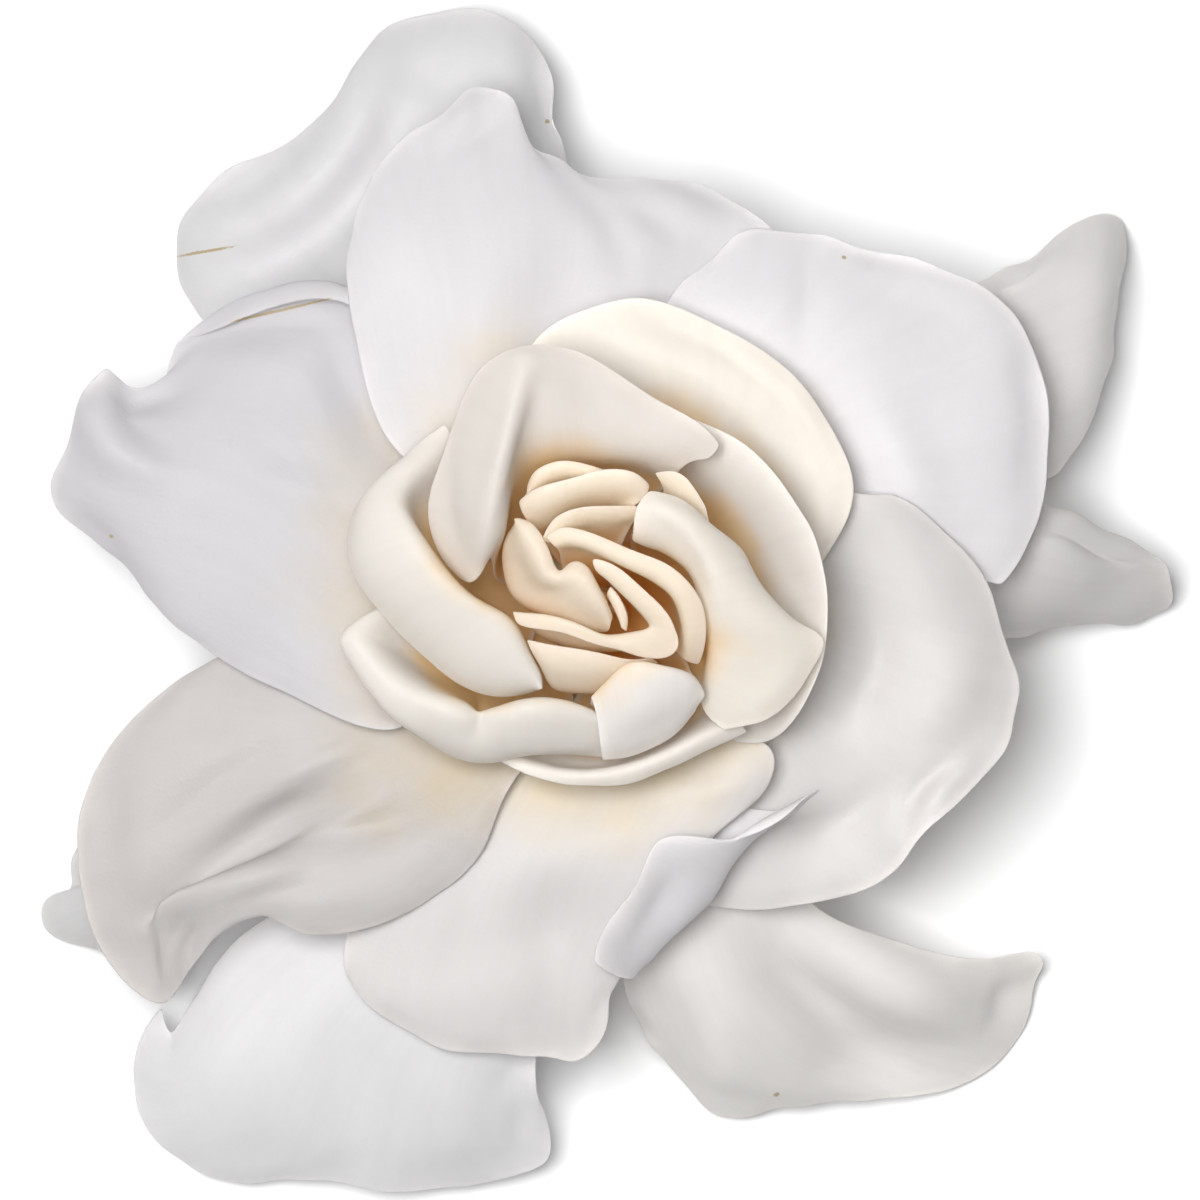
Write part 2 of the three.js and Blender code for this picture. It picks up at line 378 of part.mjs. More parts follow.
      [[-0.6, -8.2, 31.4], [0.6, -7.1, 32.6], [2.8, -5.4, 34.3], [5, -5.7, 34.1], [6.9, -6.2, 33.1],
       [8.4, -7.2, 31.4]],
      [[-0.3, -9.6, 31], [1.2, -9, 32], [3.2, -8, 33.2], [5.2, -7.8, 33], [7, -7.9, 32],
       [8.7, -8, 30.8]],
      [[0, -11.6, 29.5], [1.6, -11.3, 29.8], [3.4, -10.6, 30.2], [5.2, -9.9, 30.4],
       [6.8, -9.3, 30.4], [8.3, -8.5, 30]],
      [[0.2, -13.3, 26.9], [1.6, -13.2, 27], [3.2, -12.8, 27.4], [4.9, -12, 27.8],
       [6.6, -10.8, 28.4], [7.9, -9.3, 29]],
    ],
  },
  "inner_petal_8": {
    "foot": [8, 3.4, 20.2, 2.2, 0.2],
    "rows": [
      [[5.8, -3.6, 23], [6.1, -2.4, 23.2], [6.3, -1.2, 23.4], [6.3, 0, 23.6], [6.1, 1.4, 23.8],
       [5.6, 2.6, 24], [4.9, 3.5, 24], [3.9, 4.1, 24], [3, 4.5, 24], [2.5, 4.7, 24]],
      [[7.8, -7, 25.8], [8.8, -5.6, 27], [9, -4, 27.6], [8.9, -2, 28], [8.6, 0, 28.2],
       [7.9, 2.2, 28.4], [6.6, 3.6, 28.6], [4.9, 4.5, 28.8], [3.3, 5.1, 29], [2.6, 5.4, 29]],
      [[8.4, -8.4, 28], [9.4, -6.4, 30.4], [9.8, -4, 31.8], [9.5, -1.6, 33], [8.9, 0.6, 33.8],
       [8, 2.6, 34.2], [6.4, 4.1, 34.6], [4.6, 5, 34.8], [3.2, 5.4, 35], [2.7, 5.6, 35]],
      [[8.8, -9.4, 28.4], [10.4, -7.2, 30.6], [11, -4.4, 32], [10.7, -1.6, 33.4], [10, 0.8, 34.4],
       [8.9, 3, 35], [7.2, 4.8, 35.5], [5.2, 6, 35.8], [3.8, 6.6, 35.9], [2.8, 6.8, 35.8]],
      [[9.4, -10.1, 28.6], [11.8, -8.2, 30.4], [13.4, -5.4, 31.6], [12.6, -2, 33.6], [11, 1, 34.7],
       [9.7, 3.6, 35.4], [7.9, 5.8, 36], [5.8, 7.2, 36.2], [4.2, 7.8, 36], [3.1, 7.9, 35.8]],
      [[9.9, -10.5, 28.8], [13.2, -9, 30.2], [15.6, -6, 31.2], [15.6, -3, 32.4], [13.4, 0, 33.4],
       [11.8, 2.8, 34], [10.4, 5, 34.6], [8.2, 6.9, 35.4], [5.6, 8.2, 35.8], [3.6, 8.5, 35.6]],
      [[10.2, -10.8, 28.7], [12, -10.4, 29.3], [13.8, -9.9, 29.6], [15.8, -8.4, 29.8],
       [17.6, -5.8, 30.4], [18.6, -3.3, 31], [17, -2, 31.7], [15, -0.3, 32.2], [13.2, 1.8, 32.6],
       [11.7, 4.2, 33.2], [10.2, 5.6, 33.8], [8.4, 7.2, 34.8], [6.2, 8.6, 35.3], [4.1, 9, 35.2]],
    ],
  },
  "heart_petal_1": {
    "foot": [108, 3.4, 20.2, 2, 0.2],
    "rows": [
      [[1, 7.8, 27], [-0.8, 8.1, 27], [-2.6, 8.1, 27], [-4.2, 7.5, 27], [-5.6, 6.5, 27]],
      [[1, 9.5, 31.2], [-1, 10, 31.6], [-3.4, 9.9, 31.6], [-5.2, 9.1, 31.6], [-6.4, 8.1, 31.4]],
      [[0.8, 10.3, 32.8], [-1, 10.9, 33.6], [-3.3, 11.2, 34], [-5.1, 10.4, 33.8], [-6, 9.2, 32.5]],
      [[0.9, 10.6, 32.6], [-1, 11.2, 33.5], [-3.4, 11.5, 33.9], [-5.3, 10.7, 33.6],
       [-6, 9.5, 32.3]],
    ],
  },
  "heart_petal_2": {
    "foot": [100, 2.4, 21.7, 1.6, 0.2],
    "rows": [
      [[2.2, 6.4, 28], [1.4, 6.7, 28], [0, 6.8, 28], [-1.8, 6.5, 28], [-3.4, 5.8, 28],
       [-4.8, 5, 28]],
      [[3, 7.9, 33], [2.2, 8.4, 33], [0.4, 8.6, 33], [-1.8, 8.2, 33], [-4, 7.2, 33],
       [-5.9, 6.4, 32.3]],
      [[4, 9, 33.5], [2.6, 10, 34.8], [0.4, 10.2, 35], [-2.2, 9.5, 35], [-4.9, 8.7, 34.8],
       [-6.6, 7.7, 33.1]],
      [[4.1, 9.5, 33.5], [2.7, 10.6, 34.9], [0.4, 10.8, 35.1], [-2.3, 10.1, 35.1],
       [-5.1, 9.3, 34.8], [-6.7, 8.2, 33.1]],
    ],
  },
  "heart_petal_3": {
    "foot": [68, 3.5, 20, 1.6, 0.2],
    "rows": [
      [[7.9, 5.2, 25.6], [7, 6.5, 25.8], [5.8, 7.2, 26.2], [4.4, 8, 26.4]],
      [[8.9, 6.9, 32.4], [7.9, 8.2, 33], [6.6, 9.2, 33.3], [4.9, 9.9, 33.3]],
      [[8.7, 7.7, 33], [7.8, 9.2, 33.7], [6.5, 10.5, 34], [4.5, 10.5, 34.3]],
    ],
  },
  "heart_petal_4": {
    "foot": [112, 1.4, 22.9, 1.1, 0],
    "rows": [
      [[1.6, 4.2, 29], [0.4, 4.5, 29], [-1.2, 4.4, 29], [-2.6, 4, 29], [-3.7, 3.4, 29]],
      [[2.8, 6.5, 31.6], [0.5, 6.2, 32.4], [-1.5, 6, 32.4], [-3.1, 5.5, 32.4], [-4.4, 4.7, 32.4]],
      [[3.1, 7.3, 33.6], [0.6, 7.4, 35.2], [-1.6, 7.2, 35.2], [-3.5, 6.4, 35.2], [-4.5, 4.8, 34.2]],
      [[3.1, 7.8, 33.8], [0.6, 7.8, 35.5], [-1.8, 7.6, 35.5], [-3.8, 6.7, 35.3], [-4.8, 5, 34.3]],
    ],
  },
  "heart_petal_5": {
    "foot": [22, 1.4, 22.9, 0.9, 0],
    "rows": [
      [[5.2, -3.6, 27.5], [5.8, -2, 27.5], [5.8, -0.6, 27.5], [5.2, 0.6, 27.5], [4, 1.6, 27.5],
       [2.4, 2.4, 27.5], [0.8, 2.5, 28.2], [-0.8, 2.5, 28.6], [-2, 2.5, 28.6], [-3, 2.2, 29]],
      [[6.4, -4.4, 30], [6.9, -2.6, 31.6], [6.6, -0.8, 32.4], [5.9, 0.7, 32.6], [4.4, 1.8, 32.8],
       [2.6, 2.8, 33], [0.5, 3.6, 33.4], [-1.4, 4.3, 33.6], [-2.7, 4.4, 33.6], [-3.4, 4, 33.4]],
      [[7, -5, 30.8], [7.4, -2.8, 33.6], [7.3, -0.8, 35], [6.5, 1, 35.9], [4.9, 2.3, 36.1],
       [2.8, 3.2, 36.3], [0.6, 4.2, 36.3], [-1.6, 5, 36.1], [-3, 5.1, 35.8], [-4, 4.6, 35.2]],
      [[8.2, -5.4, 30.4], [8.8, -2.9, 33.2], [8.5, -0.4, 34.6], [7.4, 1.4, 35.6], [5.5, 3, 36],
       [3, 4, 36.2], [0.7, 5, 36.2], [-1.8, 5.9, 36], [-3.4, 6, 35.6], [-4.6, 5.2, 35]],
    ],
  },
  "heart_petal_6": {
    "foot": [300, 1.4, 22.9, 1.3, 0],
    "rows": [
      [[-4.4, -2.1, 25.6], [-3.6, -2.7, 25.6], [-2.4, -3.2, 25.6], [-1, -3.5, 25.6],
       [0.6, -3.6, 26], [2, -3.5, 26.6], [3, -3.1, 27.2], [3.6, -2.4, 27.8], [3.8, -1.6, 28],
       [3.5, -0.7, 28], [2.9, 0, 28], [2.3, 0.7, 28.2], [1.6, 1.4, 28.6], [0.8, 2.1, 29]],
      [[-6.6, -1.5, 31], [-5.4, -2.2, 31], [-4, -2.7, 31], [-2.2, -3.3, 31], [-0.4, -3.7, 31],
       [1.2, -3.8, 31], [2.8, -3.6, 31.2], [4, -3.3, 31.4], [4.6, -2.6, 31.8], [4.3, -1.7, 32.2],
       [3.5, -0.6, 32.6], [2.7, 0.3, 32.9], [1.8, 1.1, 33.2], [0.6, 2, 33.5]],
      [[-7.2, -1.1, 33.1], [-6.2, -1.3, 33.6], [-4.6, -1.4, 34], [-3, -1.7, 34.2],
       [-1.2, -2.4, 34.2], [0.2, -3, 33.8], [1.4, -3, 33.8], [2.6, -2.8, 34], [3.9, -2.5, 34.4],
       [4.7, -2, 34.8], [4.2, -1.2, 35.3], [3.2, -0.1, 35.7], [1.9, 1.3, 36], [0.5, 2.5, 36],
       [-0.6, 2.9, 35.8]],
      [[-6.9, -2, 33], [-6, -2.3, 33.4], [-4.4, -2.5, 33.8], [-2.8, -2.8, 34], [-1.2, -3.4, 34],
       [0.4, -3.9, 33.8], [1.8, -4.2, 33.8], [3.2, -4.7, 33.8], [4.7, -4.9, 33.8],
       [5.9, -4.7, 33.9], [6.6, -3.9, 34.1], [6.4, -2.9, 34.6], [5.9, -1.6, 35.4],
       [4.9, -0.3, 35.9], [3.6, 0.9, 36.1], [2.2, 2.2, 36.2], [0.6, 3.2, 36.1], [-0.7, 3.5, 35.9]],
    ],
  },
  "heart_petal_7": {
    "foot": [330, 0.9, 25.4, 0.4, 0],
    "rows": [
      [[2.1, -2.1, 30.6], [2.1, -1.3, 30.6], [1.8, -0.6, 30.6], [1.4, 0.1, 30.6], [1, 0.6, 30.6]],
      [[1.95, -2.45, 33.2], [1.95, -1.4, 33.8], [1.7, -0.5, 34], [1.25, 0.3, 34], [0.75, 0.95, 34]],
      [[2.2, -2.6, 32.9], [2.3, -1.4, 33.7], [1.95, -0.4, 34], [1.45, 0.5, 34], [0.85, 1.15, 34]],
    ],
  },
  "heart_petal_8": {
    "foot": [195, 1.4, 22.9, 1.2, 0],
    "rows": [
      [[-6, 4.2, 26.6], [-6.2, 3.2, 26.4], [-6.1, 2.4, 26.4], [-5.9, 1.4, 26.4], [-5.5, 0.5, 26.4],
       [-4.9, -0.4, 26.4], [-4.1, -1.1, 26.4], [-3.1, -1.6, 26.4], [-2.1, -2, 26.4],
       [-1, -2.2, 26.4]],
      [[-6.9, 6.5, 31.4], [-7.6, 5.2, 31.4], [-7.8, 3.6, 31], [-7.6, 2, 30.6], [-7, 0.5, 30.4],
       [-5.8, -0.4, 30.6], [-4.3, -1.1, 31], [-2.8, -1.8, 31.2], [-1.2, -2.5, 31.2],
       [0.2, -2.7, 31]],
      [[-7, 6.7, 33.2], [-7, 5.6, 33.4], [-6.8, 4.2, 33.2], [-6.3, 2.8, 32.8], [-5.6, 1.5, 32.6],
       [-4.4, 0.8, 33], [-3, 0.3, 33.8], [-1.6, -0.4, 34.2], [-0.2, -1.3, 33.8], [0.8, -2.4, 33]],
      [[-7.1, 6.7, 34.2], [-6, 6, 35.2], [-5.1, 4.7, 35.6], [-4.4, 3.3, 35.6], [-3.6, 2.1, 35.4],
       [-2.7, 2.3, 35.8], [-1.5, 2.3, 36], [-0.5, 1.2, 35.8], [0.3, -0.2, 35.2], [0.9, -1.9, 33.9]],
      [[-6.8, 6.8, 33.8], [-5.4, 6.2, 34.9], [-4.5, 4.9, 35.2], [-3.9, 3.5, 35.2], [-3.3, 2.4, 35],
       [-2.6, 3.1, 35.2], [-1.4, 3.1, 35.4], [-0.4, 1.8, 35.1], [0.4, 0.3, 34.6],
       [1.1, -1.4, 33.4]],
    ],
  },
  "heart_petal_9": {
    "foot": [248, 3.4, 20.2, 2, 0.2],
    "rows": [
      [[-4.2, -4.9, 26], [-3.4, -5.8, 25.8], [-1.8, -6.3, 25.8], [0.4, -6.5, 25.8], [2.6, -6, 26],
       [4.2, -5, 26.4]],
      [[-4.5, -5.8, 29.4], [-4, -7, 29], [-2.2, -7.5, 29], [0.2, -7.5, 29], [2.6, -6.9, 29.4],
       [4.8, -5.5, 30]],
      [[-5.2, -4.9, 31.2], [-4.3, -6, 31.2], [-2.1, -6.5, 31.2], [0.4, -6.5, 31.2],
       [2.8, -6.1, 31.2], [4.8, -5.2, 30.8]],
      [[-5.8, -3.9, 32.5], [-4.4, -4.6, 32.8], [-2, -5, 32.9], [0.6, -5.1, 32.7], [2.8, -5.3, 32.2],
       [4.6, -5, 31.6]],
      [[-6.1, -3.2, 32.8], [-4.3, -3.6, 33.2], [-1.8, -4, 33.2], [0.6, -4.5, 33], [2.8, -4.9, 32.6],
       [4.2, -4.7, 32.2]],
    ],
  },
};

// Second derivatives of a natural cubic spline through the points at the knots.
function curvature(knots, points) {
  const count = points.length;
  const size = points[0].length;
  const result = points.map(() => new Array(size).fill(0));
  if (count < 3) {
    return result;
  }
  for (let axis = 0; axis < size; axis += 1) {
    const upper = new Array(count).fill(0);
    const right = new Array(count).fill(0);
    for (let i = 1; i < count - 1; i += 1) {
      const before = knots[i] - knots[i - 1];
      const after = knots[i + 1] - knots[i];
      const slopeBefore = (points[i][axis] - points[i - 1][axis]) / before;
      const slopeAfter = (points[i + 1][axis] - points[i][axis]) / after;
      const pivot = 2 * (before + after) - before * upper[i - 1];
      upper[i] = after / pivot;
      right[i] = (6 * (slopeAfter - slopeBefore) - before * right[i - 1]) / pivot;
    }
    for (let i = count - 2; i > 0; i -= 1) {
      result[i][axis] = right[i] - upper[i] * result[i + 1][axis];
    }
  }
  return result;
}

// A smooth curve through the points, read at a fraction of its length from 0 to 1.
function smoothCurve(points) {
  const knots = [0];
  for (let i = 1; i < points.length; i += 1) {
    const step = Math.hypot(...points[i].map((value, axis) => value - points[i - 1][axis]));
    knots.push(knots[i - 1] + step);
  }
  const total = knots[knots.length - 1];
  const fractions = knots.map((knot) => knot / total);
  const bend = curvature(fractions, points);
  return (at) => {
    let i = 0;
    while (i < fractions.length - 2 && at >= fractions[i + 1]) {
      i += 1;
    }
    const span = fractions[i + 1] - fractions[i];
    const a = (fractions[i + 1] - at) / span;
    const b = (at - fractions[i]) / span;
    const scale = (span * span) / 6;
    return points[i].map((value, axis) => (
      a * value + b * points[i + 1][axis]
      + scale * ((a ** 3 - a) * bend[i][axis] + (b ** 3 - b) * bend[i + 1][axis])
    ));
  };
}

// The narrow end of a petal, an arc round the axis of the flower.
function footRow([bearing, radius, height, width, rise]) {
  const middle = THREE.MathUtils.degToRad(bearing);
  return [-1, 0, 1].map((side) => {
    const angle = middle + (side * width) / (2 * radius);
    return [radius * Math.cos(angle), radius * Math.sin(angle), height + (side * rise) / 2];
  });
}

// The middle surface of a petal as a grid of points, row by row from foot to rim.
function petalGrid(petal) {
  const rows = [footRow(petal.foot), ...petal.rows].map(smoothCurve);
  const grid = [];
  for (let j = 0; j <= PETAL_STEPS_ALONG; j += 1) {
    grid.push([]);
  }
  for (let i = 0; i <= PETAL_STEPS_ACROSS; i += 1) {
    const across = i / PETAL_STEPS_ACROSS;
    const ray = smoothCurve(rows.map((row) => row(across)));
    for (let j = 0; j <= PETAL_STEPS_ALONG; j += 1) {
      grid[j].push(new THREE.Vector3(...ray(j / PETAL_STEPS_ALONG)));
    }
  }
  return grid;
}

// The direction that a petal faces at one point of its grid.
function petalNormal(grid, i, j) {
  const left = grid[j][Math.min(i + 1, PETAL_STEPS_ACROSS)];
  const right = grid[j][Math.max(i - 1, 0)];
  const outer = grid[Math.min(j + 1, PETAL_STEPS_ALONG)][i];
  const inner = grid[Math.max(j - 1, 0)][i];
  const along = outer.clone().sub(inner);
  const across = left.clone().sub(right);
  return along.cross(across).normalize();
}

// A thin closed solid, a box bent onto the petal's middle surface.
function petalGeometry(petal) {
  const grid = petalGrid(petal);
  const box = new THREE.BoxGeometry(1, 1, 1, PETAL_STEPS_ACROSS, PETAL_STEPS_ALONG, 1);
  const position = box.attributes.position;
  for (let k = 0; k < position.count; k += 1) {
    const i = Math.round((0.5 - position.getX(k)) * PETAL_STEPS_ACROSS);
    const j = Math.round((position.getY(k) + 0.5) * PETAL_STEPS_ALONG);
    const offset = position.getZ(k) * PETAL_THICKNESS;
    const point = grid[j][i].clone().addScaledVector(petalNormal(grid, i, j), offset);
    position.setXYZ(k, point.x, point.y, point.z);
  }
  box.computeVertexNormals();
  return box;
}

// A solid turned about the axis of the flower from a half profile.
function turned(profile, steps) {
  const points = profile.map(([radius, height]) => new THREE.Vector2(radius, height));
  const geometry = new THREE.LatheGeometry(points, steps);
  geometry.rotateX(Math.PI / 2);
  return geometry;
}

// The cup of the calyx with a ridge below each sepal.
function calyxCup() {
  const middle = (CALYX_BASE + CALYX_TOP) / 2;
  const profile = [
    [0, CALYX_BASE],
    [CALYX_BASE_RADIUS, CALYX_BASE],
    [CALYX_BASE_RADIUS + 0.9, middle - 1.2],
    [CALYX_TOP_RADIUS - 0.2, middle + 1],
    [CALYX_TOP_RADIUS, CALYX_TOP],
    [CALYX_HOLE_RADIUS, CALYX_TOP],
    [CALYX_HOLE_RADIUS, CALYX_FLOOR],
    [0, CALYX_FLOOR],
  ];
  const cup = turned(profile, 36);
  const position = cup.attributes.position;
  for (let k = 0; k < position.count; k += 1) {
    const x = position.getX(k);
    const y = position.getY(k);
    const radius = Math.hypot(x, y);
    if (radius > CALYX_HOLE_RADIUS + 0.05) {
      const ridge = 0.5 + 0.5 * Math.cos(RIB_COUNT * Math.atan2(y, x));
      const scale = (radius + RIB_DEPTH * ridge) / radius;
      position.setX(k, x * scale);
      position.setY(k, y * scale);
    }
  }
  return cup;
}

// One narrow sepal, a tapering strip along its middle line.
function sepal(bearing, length) {
  const line = smoothCurve(SEPAL_LINE);
  const box = new THREE.BoxGeometry(1, 1, 1, 3, SEPAL_STEPS, 1);
  const position = box.attributes.position;
  for (let k = 0; k < position.count; k += 1) {
    const along = (position.getY(k) + 0.5) * length;
    const [radius, height] = line(along);
    const [ahead, aheadHeight] = line(Math.min(along + 0.02, 1));
    const [behind, behindHeight] = line(Math.max(along - 0.02, 0));
    const slope = Math.atan2(aheadHeight - behindHeight, ahead - behind);
    const taper = 0.22 + 0.78 * Math.cos((along * Math.PI) / 2);
    const side = -position.getX(k) * SEPAL_WIDTH * taper;
    const keel = 0.25 * (4 * position.getX(k) ** 2);
    const lift = position.getZ(k) * SEPAL_THICKNESS * taper + keel;
    position.setXYZ(
      k,
      radius - Math.sin(slope) * lift,
      side,
      height + Math.cos(slope) * lift,
    );
  }
  box.rotateZ(THREE.MathUtils.degToRad(bearing));
  return box;
}

// Conversions to and from the library that joins solids.
function toManifold(wasm, geometry) {
  const seen = new Map();
  const points = [];
  const corners = [];
  const position = geometry.attributes.position;
  const index = geometry.index;
  for (let k = 0; k < index.count; k += 1) {
    const v = index.getX(k);
    const point = [position.getX(v), position.getY(v), position.getZ(v)];
    const key = point.map((value) => Math.round(value * 1e4)).join(",");
    if (!seen.has(key)) {
      seen.set(key, points.length / 3);
      points.push(...point);
    }
    corners.push(seen.get(key));
  }
  const triangles = [];
  for (let k = 0; k < corners.length; k += 3) {
    const [a, b, c] = corners.slice(k, k + 3);
    if (a !== b && b !== c && c !== a) {
      triangles.push(a, b, c);
    }
  }
  return new wasm.Manifold(new wasm.Mesh({
    numProp: 3,
    vertProperties: new Float32Array(points),
    triVerts: new Uint32Array(triangles),
  }));
}

function fromManifold(solid) {
  const mesh = solid.getMesh();
  const geometry = new THREE.BufferGeometry();
  geometry.setAttribute("position", new THREE.BufferAttribute(mesh.vertProperties, 3));
  geometry.setIndex(new THREE.BufferAttribute(mesh.triVerts, 1));
  geometry.computeVertexNormals();
  return geometry;
}

// The calyx is the cup joined with its sepals, which differ a little in length.
function calyxGeometry(wasm) {
  let calyx = toManifold(wasm, calyxCup());
  const lengths = [1, 0.88, 0.95, 0.82, 1, 0.9];
  lengths.forEach((length, number) => {
    calyx = calyx.add(toManifold(wasm, sepal((360 / RIB_COUNT) * number, length)));
  });
  return fromManifold(calyx);
}

function pedicelGeometry() {
  const profile = [
    [0, 0],
    [PEDICEL_RADIUS, 0],
    [PEDICEL_RADIUS + 0.05, PEDICEL_LENGTH * 0.5],
    [PEDICEL_TOP_RADIUS, PEDICEL_LENGTH],
    [0, PEDICEL_LENGTH],
  ];
  return turned(profile, 24);
}

function part(name, geometry, colour, roughness) {
  const material = new THREE.MeshStandardMaterial({ color: colour, roughness, metalness: 0 });
  const mesh = new THREE.Mesh(geometry, material);
  mesh.name = name;
  return mesh;
}

function petalColour(name) {
  if (name.startsWith("outer")) {
    return OUTER_WHITE;
  }
  if (name.startsWith("inner")) {
    return INNER_WHITE;
  }
  return name.startsWith("heart") ? CREAM : WHITE;
}

const wasm = await Module();
wasm.setup();

const flower = new THREE.Group();
flower.name = "gardenia_flower";
Object.entries(PETALS).forEach(([name, petal]) => {
  flower.add(part(name, petalGeometry(petal), petalColour(name), 0.6));
});
flower.add(part("corolla_tube", turned(TUBE_PROFILE, 36), TUBE_GREEN, 0.55));
flower.add(part("calyx", calyxGeometry(wasm), CALYX_GREEN, 0.5));
flower.add(part("pedicel", pedicelGeometry(), STALK_GREEN, 0.6));

// The middle of the flower's footprint comes to x = 0, y = 0 and its lowest point to z = 0.
const box = new THREE.Box3().setFromObject(flower);
const centre = box.getCenter(new THREE.Vector3());
flower.children.forEach((mesh) => {
  mesh.geometry.translate(-centre.x, -centre.y, -box.min.z);
});

export default flower;
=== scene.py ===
# %% [markdown]
# # A double gardenia, lying face up
#
# The object is one florist's gardenia, picked with a stub of stalk. On the real flower six big petals
# droop to the table, seven more lie over them like the vanes of a pinwheel, and eight upright petals
# with rolled lips close round a tightly wrapped heart. This lesson makes every petal as its own thin
# sheet, because that is how light behaves in the flower: it passes between the sheets, bounces from
# one cream face to the next and turns warm on the way down.

# %% Load the frame
import heapq
import math

import bmesh
import bpy
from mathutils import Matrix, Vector, noise


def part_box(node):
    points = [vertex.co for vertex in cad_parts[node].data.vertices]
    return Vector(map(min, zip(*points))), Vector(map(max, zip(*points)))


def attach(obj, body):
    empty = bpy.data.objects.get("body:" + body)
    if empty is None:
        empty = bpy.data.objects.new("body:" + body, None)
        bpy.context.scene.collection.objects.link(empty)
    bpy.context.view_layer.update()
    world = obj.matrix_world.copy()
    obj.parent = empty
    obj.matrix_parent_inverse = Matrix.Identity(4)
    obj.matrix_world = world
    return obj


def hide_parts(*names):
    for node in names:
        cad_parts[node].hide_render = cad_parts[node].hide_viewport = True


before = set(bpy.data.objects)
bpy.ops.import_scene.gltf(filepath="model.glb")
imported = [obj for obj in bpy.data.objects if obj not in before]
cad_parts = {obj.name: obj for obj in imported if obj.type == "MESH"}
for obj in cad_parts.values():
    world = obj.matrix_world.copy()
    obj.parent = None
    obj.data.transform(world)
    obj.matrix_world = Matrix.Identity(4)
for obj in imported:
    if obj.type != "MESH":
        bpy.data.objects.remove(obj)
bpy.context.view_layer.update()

# %% [markdown]
# ## Where the flower stands in the frame
#
# The petals are described in millimetres round the axis of the stalk, with the cut end of the stalk
# at height zero. The frame is in metres, with its origin in the middle of the footprint. The box of
# the stalk gives the one shift between the two, so nothing has to be fitted by eye.

# %% From millimetres round the stalk to the frame
MM = 0.001
stalk_low, stalk_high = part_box("pedicel")
AXIS = Vector((
    (stalk_low[0] + stalk_high[0]) / 2,
    (stalk_low[1] + stalk_high[1]) / 2,
    stalk_low[2],
))


def place(point):
    """A point in millimetres round the stalk, as a place in the frame in metres."""
    return AXIS + Vector(point) * MM


print("the stalk stands at", [round(value / MM, 2) for value in AXIS], "mm")

# %% [markdown]
# ## From mesh code to a piece
#
# Every piece below is built the same way: bmesh shapes the points and faces, a mesh keeps them, and
# an object shows the mesh in the scene. The objects stay at the origin, unturned and unscaled, with
# their place in their points, because then a pattern never slides when a piece is moved or exported.
# Thin parts such as petals and sepals are modelled as a sheet, and two modifiers give them a body:
# Solidify makes it thick and Subdivision Surface rounds its rim.

# %% Mesh helpers


def finished_mesh(bm, name):
    """The shape in bm as a mesh with smooth shading."""
    mesh = bpy.data.meshes.new(name)
    bm.to_mesh(mesh)
    bm.free()
    mesh.shade_smooth()
    return mesh


def add_to_scene(name, data):
    """A new object at the origin that shows the data."""
    thing = bpy.data.objects.new(name, data)
    bpy.context.scene.collection.objects.link(thing)
    return thing


def give_body(piece, thickness):
    """Make a sheet thick about its middle and round its rim; the thickening is returned."""
    body = piece.modifiers.new("body", "SOLIDIFY")
    body.thickness = thickness
    body.offset = 0
    rounding = piece.modifiers.new("rounding", "SUBSURF")
    rounding.levels = 1
    rounding.render_levels = 1
    return body


print("mesh helpers are ready")

# %% [markdown]
# ## The shape of each petal
#
# A petal could be sculpted, or drawn flat and bent. Here it is lofted instead: each petal is a few
# rows of points from its foot on the hub out to its rim, and every row runs across the petal,
# anticlockwise as seen from above. A rolled lip or a folded corner is just one more row. These rows
# are the same ones that the solid model uses, so each finished petal lies where its solid lies.

